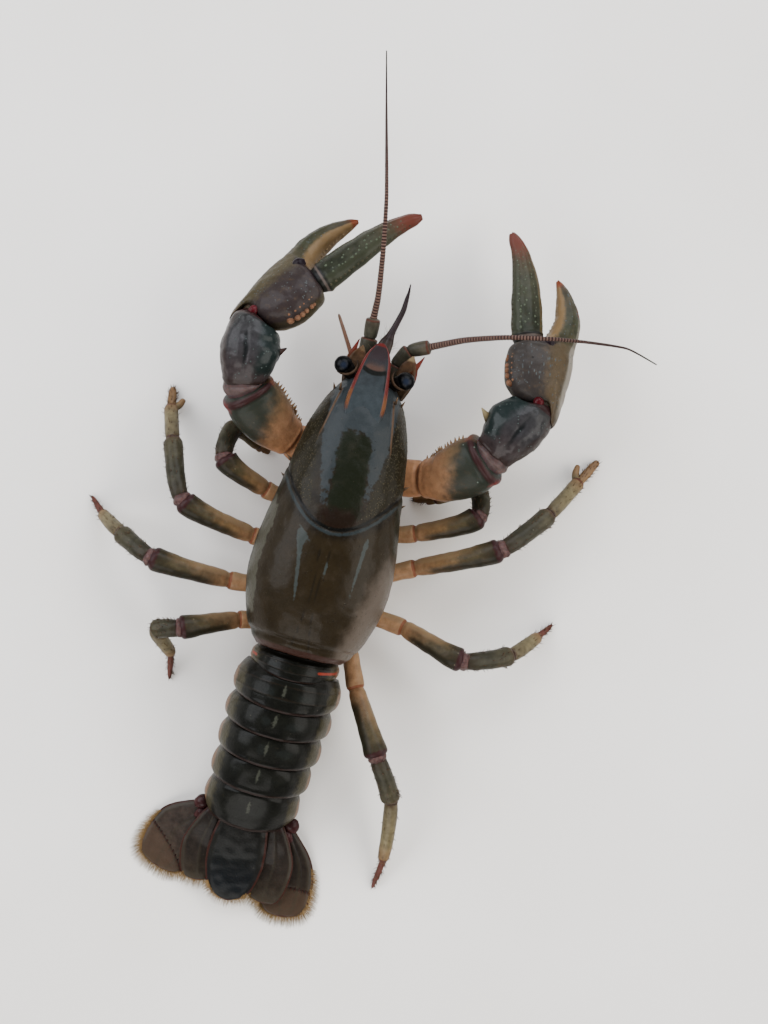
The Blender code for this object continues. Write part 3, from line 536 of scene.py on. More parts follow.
def add(
    tree: bpy.types.NodeTree, kind: str, settings: dict | None = None, links: dict | None = None
) -> bpy.types.Node:
    """Add one node.

    Args:
        tree: Where it goes.
        kind: The node's type.
        settings: Its own properties.
        links: What each input takes: a socket to link, or a value to hold.

    Returns:
        The node.
    """
    made = tree.nodes.new(kind)
    for key, value in (settings or {}).items():
        setattr(made, key, value)
    for key, value in (links or {}).items():
        if isinstance(value, bpy.types.NodeSocket):
            tree.links.new(value, made.inputs[key])
        else:
            made.inputs[key].default_value = value
    return made


@dataclass(frozen=True)
class Layer:
    """A colour that lies over the shell where a mask is high, with an edge that noise breaks up."""

    mask: str
    colour: str
    strength: float = 1.0
    breakup: float = 0.4
    grain: float = 1.2
    edge: float = 0.2


@dataclass(frozen=True)
class Dots:
    """Small spots set at random, one to a cell, on some of the cells."""

    colour: str
    spacing: float
    radius: float
    share: float = 0.5
    mask: str = ""
    height: float = 0.0
    strength: float = 0.9


@dataclass(frozen=True)
class Bands:
    """Fine rings of two tones along a limb, such as the joints of a feeler."""

    colour: str
    count: float
    width: float = 0.5
    strength: float = 0.8
    height: float = 0.04


def even(*colours: str) -> Stops:
    """Colours at even distances along a piece, from its root to its tip."""
    return tuple((number / (len(colours) - 1), colour) for number, colour in enumerate(colours))


@dataclass
class Brush:
    """The nodes of one finish while its colours are laid."""

    tree: bpy.types.NodeTree
    place: Socket
    depth: float

    def clouds(self, size: float, detail: float, shift: float) -> Socket:
        """Soft clouds from 0 to 1.

        Args:
            size: The distance between swellings in millimetres.
            detail: How many finer layers they have.
            shift: Moves the pattern, so that two of one size differ.

        Returns:
            The clouds.
        """
        links = {"Vector": self.place, "Location": (shift * MM,) * 3}
        moved = add(self.tree, "ShaderNodeMapping", None, links).outputs["Vector"]
        links = {"Vector": moved, "Scale": 1 / (size * MM), "Detail": detail, "Roughness": 0.6}
        return add(self.tree, "ShaderNodeTexNoise", None, links).outputs["Fac"]

    def ragged(self, name: str, clouds: Socket, reach: float) -> Socket:
        """One of the piece's own masks, its borders made uneven.

        Args:
            name: The mask's name.
            clouds: What shifts the borders.
            reach: How far they shift either way, as a share of the mask.

        Returns:
            The uneven mask.
        """
        links = {0: clouds, 1: 2 * reach, 2: -reach}
        shift = add(self.tree, "ShaderNodeMath", {"operation": "MULTIPLY_ADD"}, links).outputs[0]
        own = add(self.tree, "ShaderNodeAttribute", {"attribute_name": name}).outputs["Fac"]
        return add(self.tree, "ShaderNodeMath", {"operation": "ADD"}, {0: own, 1: shift}).outputs[0]

    def paint(self, under: Socket, over: str, share: Socket, strength: float) -> Socket:
        """One colour laid over another.

        Args:
            under: The colour under it.
            over: The colour that is laid.
            share: Where it lies.
            strength: How much it hides there.

        Returns:
            The colour.
        """
        links = {0: share, 1: strength}
        weaker = add(self.tree, "ShaderNodeMath", {"operation": "MULTIPLY"}, links).outputs[0]
        links = {"Factor": weaker, "A": under, "B": wet(over, self.depth)}
        return add(self.tree, "ShaderNodeMix", {"data_type": "RGBA"}, links).outputs["Result"]

    def ramp(self, stops: Stops) -> Socket:
        """Colours along the piece, their borders made uneven.

        Args:
            stops: Shares of the way along, each with its colour.

        Returns:
            The colour.
        """
        links = {"Fac": self.ragged("along", self.clouds(1.6, 2.0, 3.0), 0.045)}
        made = add(self.tree, "ShaderNodeValToRGB", None, links)
        made.color_ramp.interpolation = "EASE"
        elements = made.color_ramp.elements
        while len(elements) > 1:
            elements.remove(elements[-1])
        elements[0].position, elements[0].color = stops[0][0], wet(stops[0][1], self.depth)
        for position, colour in stops[1:]:
            elements.new(position).color = wet(colour, self.depth)
        return made.outputs["Color"]

    def mottled(self, colour: Socket, size: float, strength: float) -> Socket:
        """Lighter and darker clouds of the same colour.

        Args:
            colour: The colour.
            size: The distance between clouds in millimetres.
            strength: How far they leave the colour, as a share of it.

        Returns:
            The clouded colour.
        """
        links = {"Value": self.clouds(size, 4.0, 0.0), "From Min": 0.3, "From Max": 0.7}
        links |= {"To Min": 1 - strength, "To Max": 1 + strength}
        share = add(self.tree, "ShaderNodeMapRange", None, links).outputs["Result"]
        links = {0: colour, "Scale": share}
        return add(self.tree, "ShaderNodeVectorMath", {"operation": "SCALE"}, links).outputs["Vector"]

    def laid(self, colour: Socket, layer: Layer) -> Socket:
        """One layer's colour where its mask, roughened by clouds, is high.

        Args:
            colour: The colour under it.
            layer: The layer.

        Returns:
            The colour with the layer over it.
        """
        mask = self.ragged(layer.mask, self.clouds(layer.grain, 4.0, 11.0), layer.breakup)
        links = {"Value": mask, "From Min": 0.5 - layer.edge, "From Max": 0.5 + layer.edge}
        ramp = add(self.tree, "ShaderNodeMapRange", {"interpolation_type": "SMOOTHSTEP"}, links)
        return self.paint(colour, layer.colour, ramp.outputs["Result"], layer.strength)

    def dotted(self, colour: Socket, spots: Dots) -> tuple[Socket, Socket]:
        """Spots over the colour.

        Args:
            colour: The colour under them.
            spots: The spots.

        Returns:
            The spotted colour, and the mask that raises the spots.
        """
        links = {"Vector": self.place, "Scale": 1 / (spots.spacing * MM)}
        cells = add(self.tree, "ShaderNodeTexVoronoi", None, links)
        reach = spots.radius / spots.spacing
        links = {"Value": cells.outputs["Distance"], "From Min": reach, "From Max": reach * 0.5}
        near = add(self.tree, "ShaderNodeMapRange", {"interpolation_type": "SMOOTHSTEP"}, links)
        chance = add(self.tree, "ShaderNodeSeparateColor", None, {"Color": cells.outputs["Color"]})
        links = {0: chance.outputs["Red"], 1: spots.share}
        chosen = add(self.tree, "ShaderNodeMath", {"operation": "LESS_THAN"}, links)
        links = {0: near.outputs["Result"], 1: chosen.outputs[0]}
        mask = add(self.tree, "ShaderNodeMath", {"operation": "MULTIPLY"}, links).outputs[0]
        if spots.mask:
            own = add(self.tree, "ShaderNodeAttribute", {"attribute_name": spots.mask})
            links = {0: mask, 1: own.outputs["Fac"]}
            mask = add(self.tree, "ShaderNodeMath", {"operation": "MULTIPLY"}, links).outputs[0]
        return self.paint(colour, spots.colour, mask, spots.strength), mask

    def banded(self, colour: Socket, bands: Bands) -> tuple[Socket, Socket]:
        """Rings over the colour.

        Args:
            colour: The colour under them.
            bands: The rings.

        Returns:
            The banded colour, and the mask that raises the rings.
        """
        own = add(self.tree, "ShaderNodeAttribute", {"attribute_name": "along"}).outputs["Fac"]
        links = {0: own, 1: bands.count * 2 * math.pi}
        turns = add(self.tree, "ShaderNodeMath", {"operation": "MULTIPLY"}, links).outputs[0]
        wave = add(self.tree, "ShaderNodeMath", {"operation": "SINE"}, {0: turns}).outputs[0]
        middle = math.cos(math.pi * bands.width)
        links = {"Value": wave, "From Min": middle - 0.5, "From Max": middle + 0.5}
        ramp = add(self.tree, "ShaderNodeMapRange", {"interpolation_type": "SMOOTHSTEP"}, links)
        share = ramp.outputs["Result"]
        return self.paint(colour, bands.colour, share, bands.strength), share


@dataclass(frozen=True)
class Shell:
    """Crayfish shell: hard mottled chitin under a film of water, so it is dark with a sharp wet gloss."""

    name: str
    stops: Stops
    layers: tuple[Layer, ...] = ()
    dots: tuple[Dots, ...] = ()
    bands: Bands | None = None
    mottle: float = 0.35
    mottle_size: float = 1.1
    roughness: float = 0.42
    wetness: float = 0.1
    film: float = 0.18
    depth: float = WET_DEPTH
    softness: float = 0.0
    relief: float = 0.05
    # The real shell's pits are finer than this, and are drawn coarser so that they show.
    relief_size: float = 0.35

    def build(self) -> bpy.types.Material:
        """Lay the colours in order over the ramp along the piece, then the gloss and the relief.

        Returns:
            The material.
        """
        made = bpy.data.materials.new(self.name)
        made.use_nodes = True
        tree = made.node_tree
        tree.nodes.clear()
        brush = Brush(tree, add(tree, "ShaderNodeTexCoord").outputs["Object"], self.depth)
        colour = brush.mottled(brush.ramp(self.stops), self.mottle_size, self.mottle)
        for layer in self.layers:
            colour = brush.laid(colour, layer)
        fine = brush.clouds(self.relief_size, 3.0, 7.0)
        reliefs = [(fine, self.relief)]
        for spots in self.dots:
            colour, mask = brush.dotted(colour, spots)
            if spots.height:
                reliefs.append((mask, spots.height))
        if self.bands:
            colour, mask = brush.banded(colour, self.bands)
            reliefs.append((mask, self.bands.height))
        normal = None
        for raised, height in reliefs:
            links = {"Height": raised, "Distance": height * MM, "Strength": 1.0}
            if normal is not None:
                links["Normal"] = normal
            normal = add(tree, "ShaderNodeBump", None, links).outputs["Normal"]
        links = {"Value": fine, "To Min": self.roughness * 0.7, "To Max": self.roughness * 1.35}
        gloss = add(tree, "ShaderNodeMapRange", None, links).outputs["Result"]
        links = {
            "Base Color": colour,
            "Roughness": gloss,
            "IOR": 1.5,
            "Specular IOR Level": 0.055,
            "Coat Weight": self.wetness,
            "Coat Roughness": self.film,
            "Coat IOR": 1.33,
            "Subsurface Weight": self.softness,
            "Subsurface Scale": 0.0006,
            "Normal": normal,
        }
        surface = add(tree, "ShaderNodeBsdfPrincipled", None, links).outputs["BSDF"]
        add(tree, "ShaderNodeOutputMaterial", {"is_active_output": True}, {"Surface": surface})
        return made


def dress(piece: bpy.types.Object, finish: Shell | bpy.types.Material, slot: str, *nodes: str) -> None:
    """Give a piece its finish, fix it to the body and hide the pieces of model.glb that it replaces.

    Args:
        piece: The new piece.
        finish: Its finish, or a material that is already made.
        slot: The record's material slot. Not used.
        nodes: The nodes that it replaces.
    """
    piece.data.materials.clear()
    piece.data.materials.append(finish.build() if isinstance(finish, Shell) else finish)
    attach(piece, "root")
    if nodes:
        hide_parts(*nodes)
    LOG.info("%s: %d faces", piece.name, len(piece.data.polygons))


CARAPACE_REAR = -22.0
CARAPACE_FRONT = 17.2
SQUARENESS = 2.15


@dataclass
class Carapace:
    """The shield over head and trunk, with its cervical groove, areola, ridges and grains."""

    rows: int = 190
    arch_columns: int = 110
    side_columns: int = 14
    belly_columns: int = 14
    belly_level: float = 7.0
    belly_rise: float = 2.3
    rise_start: float = -4.0
    tuck: float = 0.84
    groove_middle: float = -4.2
    groove_sweep: float = 0.1
    groove_depth: float = 0.13
    groove_width: float = 0.2
    ridge_height: float = 0.26
    areola_half_width: float = 0.42
    grains: int = 1300
    profile: Table = (
        (CARAPACE_REAR - 0.6, 5.9, 17.3),
        (CARAPACE_REAR, 6.3, 17.9),
        (-21.0, 7.2, 18.9), (-19.0, 8.3, 20.1), (-15.5, 9.4, 21.3), (-12.0, 10.0, 21.9),
        (-8.0, 9.9, 22.1), (-4.0, 9.4, 22.0), (0.0, 8.7, 21.6), (5.0, 7.9, 20.8), (9.0, 7.2, 19.9),
        (12.5, 6.1, 18.9), (14.5, 5.1, 18.1), (16.0, 4.2, 17.2),
        (CARAPACE_FRONT, 3.3, 15.6),
    )

    def shape(self) -> Skin:
        """Arches along the body, their sides tucked in to a flat belly.

        Returns:
            The surface before its relief.
        """
        places = np.linspace(CARAPACE_REAR - 0.15, CARAPACE_FRONT, self.rows)
        sizes = read_table(self.profile, places)
        rise = np.maximum(places - self.rise_start, 0) / (CARAPACE_FRONT - self.rise_start)
        bottoms = self.belly_level + self.belly_rise * rise
        angle = np.pi * np.arange(self.arch_columns) / self.arch_columns
        down = (np.arange(self.side_columns)) / self.side_columns
        across = np.linspace(-1, 1, self.belly_columns, endpoint=False)
        rings = []
        for place, (half_width, top), bottom in zip(places, sizes, bottoms):
            widest = bottom + 0.4 * (top - bottom)
            arch_x = signed_power(np.cos(angle), 2 / SQUARENESS) * half_width
            arch_z = widest + np.sin(angle) ** (2 / SQUARENESS) * (top - widest)
            side_x = half_width * (1 - (1 - self.tuck) * down**2)
            side_z = widest - (widest - bottom) * down
            belly_x = across * half_width * self.tuck
            belly_z = np.full(self.belly_columns, bottom)
            up = down[::-1] + 1 / self.side_columns
            rising_x = half_width * (1 - (1 - self.tuck) * up**2)
            rising_z = widest - (widest - bottom) * up
            x = np.concatenate([arch_x, -side_x, belly_x, rising_x])
            z = np.concatenate([arch_z, side_z, belly_z, rising_z])
            rings.append(np.stack([x, np.full_like(x, place), z], 1))
        return Skin(np.array(rings))

    def groove_distance(self, skin: Skin) -> np.ndarray:
        """How far ahead of the cervical groove each point lies."""
        slope = 2 * self.groove_sweep * np.abs(skin.x)
        return (skin.y - self.groove_middle - self.groove_sweep * skin.x**2) / np.sqrt(1 + slope**2)

    def areola_edge(self, skin: Skin) -> np.ndarray:
        """How far from the midline the narrow strip behind the groove ends."""
        return self.areola_half_width + 0.012 * (skin.y + 12.5) ** 2

    def ridge(self, skin: Skin) -> np.ndarray:
        """A mask of the two ridges behind the eyes.

        Args:
            skin: The carapace.

        Returns:
            The mask.
        """
        middle = 3.62 + (14.8 - skin.y) * 0.2
        ends = smooth_step(skin.y, 5.5, 9.5) * smooth_step(skin.y, 15.3, 14.7)
        return bell(np.abs(skin.x) - middle, 0, 0.14) * ends * (skin.z > 12)

    def mark(self, skin: Skin) -> None:
        """Set the masks that the finish reads.

        Args:
            skin: The carapace.
        """
        x, y, z = skin.x, skin.y, skin.z
        wide = np.abs(x)
        ahead = self.groove_distance(skin)
        half_width = np.maximum(np.abs(x).max(axis=1, keepdims=True), 0.1)
        upper = smooth_step(z, 11.5, 14.0)
        reach = 4.7 - 0.17 * np.clip(8.0 - y, 0, 12)
        drift = 0.055 * np.clip(9.5 - y, 0, 12)
        between = smooth_step(np.abs(x - drift), reach + 0.8, reach - 0.8) * upper
        core = smooth_step(np.abs(x - 1.8 * drift), 3.3, 1.2) * smooth_step(y, 11.4, 7.4)
        strips = smooth_step(y, -3.2, -0.5) * (1 - 0.35 * smooth_step(y, 6.0, 1.0))
        # Painted reflection: the slate-blue sheen of the sky on the flat top between the ridges.
        skin.masks["slate"] = between * (1 - core) * strips
        skin.masks["gastric"] = core * upper * smooth_step(ahead, 0.3, 1.2)
        zone = smooth_step(ahead, 4.2, 1.6) * smooth_step(ahead, 0.0, 0.6)
        skin.masks["amber"] = bell(x, 0.6, 3.2) * zone * upper
        skin.masks["side"] = smooth_step(wide, reach, reach + 1.1) * smooth_step(ahead, 0.2, 1.0)
        skin.masks["side"] *= smooth_step(z, 8.6, 10.5)
        # Painted shade: a near-black line in the cervical groove.
        skin.masks["groove"] = bell(ahead, 0.12, 0.27) * smooth_step(z, 10.5, 15.5)
        # Painted highlight: a thin bluish-grey line along the raised lip behind the groove.
        skin.masks["lip"] = bell(ahead, -0.5, 0.24) * smooth_step(z, 14.5, 18)
        skin.masks["trunk"] = smooth_step(ahead, -0.6, -2.2)
        left_width = 0.1 + 0.02 * np.clip(y + 19, 0, 15)
        right_width = 0.1 + 0.02 * np.clip(y + 16, 0, 12)
        # Painted reflections: streaks of window light along the shoulders and over the top of the trunk.
        streaks = (
            bell(x + 0.16 * (y + 8), -3.4, left_width) * smooth_step(y, -19, -12)
            + bell(x - 0.12 * (y + 9), 0.75, 0.19) * bell(y, -9.5, 2.2)
            + bell(x - 0.05 * (y + 8), 5.0, right_width) * smooth_step(y, -16, -9)
            + smooth_step(y, -9.0, -5.0) * bell(x, -3.2, 1.1)
        )
        skin.masks["sheen"] = smooth_step(ahead, -1.2, -2.6) * streaks * upper
        # Painted reflection: the right flank lightened to a pale grey-brown, as a broad reflection.
        skin.masks["flank"] = smooth_step(x + 0.22 * (-16 - y), 4.4, 7.8) * smooth_step(y, 0.5, -12.0)
        skin.masks["flank"] *= 0.35 + 0.65 * smooth_step(z, 8.5, 14.5)
        skin.masks["ridge"] = self.ridge(skin)
        # Painted reflection: pale grey-green patches of reflected light along the left edge of the trunk.
        glaze = smooth_step(-x / half_width, 0.78, 0.9) * smooth_step(-x / half_width, 0.995, 0.96)
        skin.masks["glaze"] = glaze * smooth_step(ahead, -1.5, -3.5) * smooth_step(y, -19.5, -16)
        areola = bell(wide - self.areola_edge(skin), 0, 0.13)
        skin.masks["areola"] = areola * smooth_step(ahead, -1.5, -3.0) * upper
        skin.masks["under"] = smooth_step(z, 9.3, 7.6)
        skin.masks["hem"] = smooth_step(y, CARAPACE_REAR + 1.0, CARAPACE_REAR + 0.35)
        skin.masks["edge"] = smooth_step(wide / half_width, 0.86, 0.99) * smooth_step(y, 14, 9)

    def build(self) -> None:
        """Model the shield, then set grains over its sides."""
        skin = self.shape()
        self.mark(skin)
        ahead = self.groove_distance(skin)
        upper = smooth_step(skin.z, 9.5, 15.5)
        dip = -self.groove_depth * bell(ahead, 0, self.groove_width)
        dip += 0.05 * bell(ahead, -0.6, 0.4) + 0.06 * bell(ahead, 1.3, 0.9)
        trunk = smooth_step(ahead, -1.0, -3.0)
        dip -= 0.07 * bell(np.abs(skin.x) - self.areola_edge(skin), 0, 0.15) * trunk
        hem = -0.35 * bell(skin.y, CARAPACE_REAR + 1.5, 0.45)
        skin.push(dip * upper + hem * upper + self.ridge_height * self.ridge(skin))
        skin.roughen(0.09, 2.6)
        skin.roughen(0.035, 0.9, 5.0)
        # Thick chitin hardened with lime, under a film of water: near black, with a sharp wet gloss. Over it
        # lie painted reflections (the slate top, the sheen streaks, pale patches at the left edge and the
        # light right flank), a painted highlight on the lip behind the groove, and painted shade in the
        # groove and the pits.
        finish = Shell(
            "wet_carapace_shell",
            ((0.0, "#2E2519"), (0.25, "#30271A"), (0.55, "#2C2417"), (0.75, "#262216"), (1.0, "#332C20")),
            (
                Layer("trunk", "#3A2F1C", 0.6, 0.35, 2.4, 0.4),
                Layer("side", "#2F2A1B", 0.85, 0.5, 1.3),
                Layer("edge", "#24281C", 0.75, 0.4, 1.5),
                # Painted reflection: slate-blue sheen on the flat top between the ridges.
                Layer("slate", "#40474A", 0.92, 0.6, 0.75, 0.1),
                Layer("gastric", "#1F2515", 0.9, 0.6, 0.85, 0.12),
                Layer("amber", "#2A1A12", 0.8, 0.5, 1.0, 0.3),
                # Painted reflection: pale streaks of window light on the trunk.
                Layer("sheen", "#525A58", 0.8, 0.6, 0.5, 0.14),
                # Painted reflection: pale patches along the trunk's left edge.
                Layer("glaze", "#6A685A", 0.7, 0.9, 1.5, 0.1),
                # Painted reflection: the pale right flank.
                Layer("flank", "#85776A", 0.75, 0.45, 1.8, 0.5),
                # Painted highlight along the lip behind the groove.
                Layer("lip", "#3E4A4E", 0.65, 0.5, 0.8, 0.25),
                # Painted shade in the cervical groove.
                Layer("groove", "#0B0C0A", 0.95, 0.2, 0.6, 0.25),
                Layer("ridge", "#75583F", 0.85, 0.25, 0.6, 0.3),
                Layer("areola", "#211C14", 0.6, 0.3, 0.8, 0.3),
                Layer("hem", "#4A2A22", 0.8, 0.2, 0.8, 0.25),
                Layer("under", "#C09A70", 0.9, 0.2, 1.4, 0.3),
            ),
            (
                Dots("#5E563E", 0.42, 0.15, 0.85, "side", 0.05, 0.75),
                Dots("#8E8870", 1.9, 0.1, 0.3, "", 0.03, 0.5),
                # Painted shade: dark spots for the shade in the shell's fine pits, pressed in a little.
                Dots("#16120C", 0.9, 0.13, 0.7, "", -0.05, 0.45),
            ),
            mottle=0.48, mottle_size=1.4, roughness=0.38, wetness=0.11,
        )
        shell = skin.build("carapace_shield")
        dress(shell, finish, "carapace", "carapace_front", "carapace_rear")
        self.add_grains(skin)

    def add_grains(self, skin: Skin) -> None:
        """Small pale grains, dense on the cheeks and thin over the trunk, and the spines at the sides.

        Args:
            skin: The finished carapace.
        """
        draw = random.Random(5)
        grains = Scatter(Template.GRAIN)
        share_round = self.arch_columns / skin.rings.shape[1]
        while len(grains.seats) < self.grains:
            row, column = draw.uniform(0.03, 0.97), draw.uniform(0, share_round)
            spot = skin.sample(row, column)
            place = spot[0]
            ahead = place.y - self.groove_middle - self.groove_sweep * place.x**2
            cheek = ahead > 0.6 and abs(place.x) > 4.9
            if draw.random() > (0.9 if cheek else 0.16 if ahead < -1 and abs(place.x) > 5.5 else 0.04):
                continue
            size = draw.uniform(0.05, 0.11) if cheek else draw.uniform(0.04, 0.07)
            grains.stud(spot, size, 0.75, sunk=0.3)
        # The worn tips of small grains: paler than the shell round them.
        finish = Shell("grain_shell", even("#4A4532", "#585240"), mottle=0.5, mottle_size=2.0)
        dress(grains.build("carapace_grains"), finish, "carapace")
        spines = Scatter(Template.SPINE)
        for side in Side:
            s = side.value
            seats = (
                ((8.0, 3.6, 14.2), (1, 0.8, 0.1), 0.32, 1.1),
                ((4.75, 14.6, 14.2), (0.4, 1, 0), 0.3, 1.0),
                ((3.95, 14.9, 17.3), (0.1, 1, 0.3), 0.24, 0.8),
                ((8.4, 1.2, 12.8), (1, 0.7, 0), 0.25, 0.7),
            )
            for (x, y, z), (a, b, c), width, height in seats:
                spines.add(Seat(Vector((s * x, y, z)), Vector((s * a, b, c)), width, height))
        colours = ((0.0, "#3A3026"), (0.6, "#74583C"), (1.0, "#A07E5C"))
        # Solid pointed chitin: dark at its root and worn pale at its tip.
        finish = Shell("side_spine_shell", colours, mottle=0.2)
        dress(spines.build("carapace_spines"), finish, "carapace")


@dataclass
class Rostrum:
    """The plate between the eyes: hollowed, with thick raised rims that meet in a blunt tip."""

    rows: int = 90
    columns: int = 64
    rim_share: float = 0.91
    rim_width: float = 0.075
    rim_height: float = 0.3
    hollow: float = 0.16
    profile: Table = (
        (7.0, 2.2, 18.6, 1.2), (10.5, 2.5, 19.25, 1.3), (13.5, 2.8, 19.1, 1.5), (16.3, 2.5, 18.6, 1.5),
        (18.2, 2.2, 18.15, 1.4), (20.0, 1.82, 17.75, 1.2), (21.0, 1.42, 17.55, 0.9),
        (21.7, 0.95, 17.45, 0.7), (22.1, 0.6, 17.4, 0.5), (22.3, 0.3, 17.35, 0.35),
    )

    def build(self) -> None:
        """Model the plate and colour its rims and the patches behind its tip."""
        places = np.linspace(7.0, 22.3, self.rows)
        sizes = read_table(self.profile, places)
        half = self.columns // 2
        over = np.cos(np.pi * np.arange(half) / half)
        rings = []
        for place, (half_width, rim, thick) in zip(places, sizes):
            strength = min(1.0, half_width / 1.6) * float(smooth_step(np.array(place), 9.5, 13.5))
            height = self.rim_height * strength * bell(np.abs(over), self.rim_share, self.rim_width)
            fall = 0.55 * np.abs(over) ** 8
            top_z = rim - self.rim_height - self.hollow * strength * (1 - over**2) + height - fall
            top_z += 0.16 * (1 - strength) * (1 - over**2)
            under_z = rim - thick * (0.55 + 0.45 * (1 - over**2))
            x = np.concatenate([over, -over]) * half_width
            z = np.concatenate([top_z, under_z - self.rim_height])
            rings.append(np.stack([x, np.full_like(x, place), z], 1))
        skin = Skin(np.array(rings))
        share = np.abs(skin.x) / np.maximum(np.abs(skin.x).max(axis=1, keepdims=True), 0.05)
        forward = smooth_step(skin.y, 11.4, 14.2)
        skin.masks["rim"] = smooth_step(share, 0.76, 0.86) * forward
        skin.masks["rim"] = np.maximum(skin.masks["rim"], smooth_step(skin.y, 21.7, 21.95))
        skin.masks["orange"] = smooth_step(share, 0.76, 0.86) * forward * smooth_step(skin.y, 16.4, 13.8)
        bow = skin.y - 0.17 * skin.x**2
        crescent = bell(bow, 18.0, 0.4) * smooth_step(share, 0.85, 0.7)
        # Painted shade: a dark line along the inside of each raised rim, stronger on the right.
        line = bell(share, 0.75, 0.06) * smooth_step(skin.y, 14.0, 16.4) * smooth_step(skin.y, 19.4, 18.4)
        skin.masks["dark"] = np.maximum(crescent, line * np.where(skin.x > 0, 0.72, 0.5))
        zone = smooth_step(bow, 18.1, 18.45) * smooth_step(skin.y, 20.2, 18.3)
        skin.masks["pink"] = zone * smooth_step(share, 0.9, 0.45)
        skin.masks["violet"] = smooth_step(skin.y, 18.6, 20.6) * smooth_step(share, 0.95, 0.5)
        skin.roughen(0.04, 1.3)
        # Wet slate-grey chitin with bare edges, which show as brick red and orange lines. The slate grey is
        # lightened at the rear as a painted reflection that carries on the carapace's, and dark lines inside
        # the rims are painted shade.
        finish = Shell(
            "wet_rostrum_shell",
            ((0.0, "#485053"), (0.45, "#464E52"), (0.75, "#3C4245"), (1.0, "#2E2A2B")),
            (
                Layer("pink", "#6A4F44", 0.9, 0.3, 0.5, 0.5),
                Layer("violet", "#433639", 0.85, 0.4, 0.7, 0.5),
                # Painted shade inside the rims, together with a dark crescent behind the tip.
                Layer("dark", "#14160F", 0.95, 0.15, 0.5, 0.25),
                Layer("rim", "#7C302C", 1.0, 0.3, 0.5, 0.35),
                Layer("orange", "#8E5A34", 0.95, 0.45, 0.8, 0.35),
            ),
            mottle=0.2, mottle_size=0.9, roughness=0.38, wetness=0.13,
        )
        dress(skin.build("rostrum"), finish, "carapace")


@dataclass
class Ring:
    """One ring of the abdomen: its edges, half width, heights, belly and the tip of its side lobes."""

    front: float
    rear: float
    half_width: float
    top_front: float
    top_rear: float
    belly: float
    lobe_tip: float


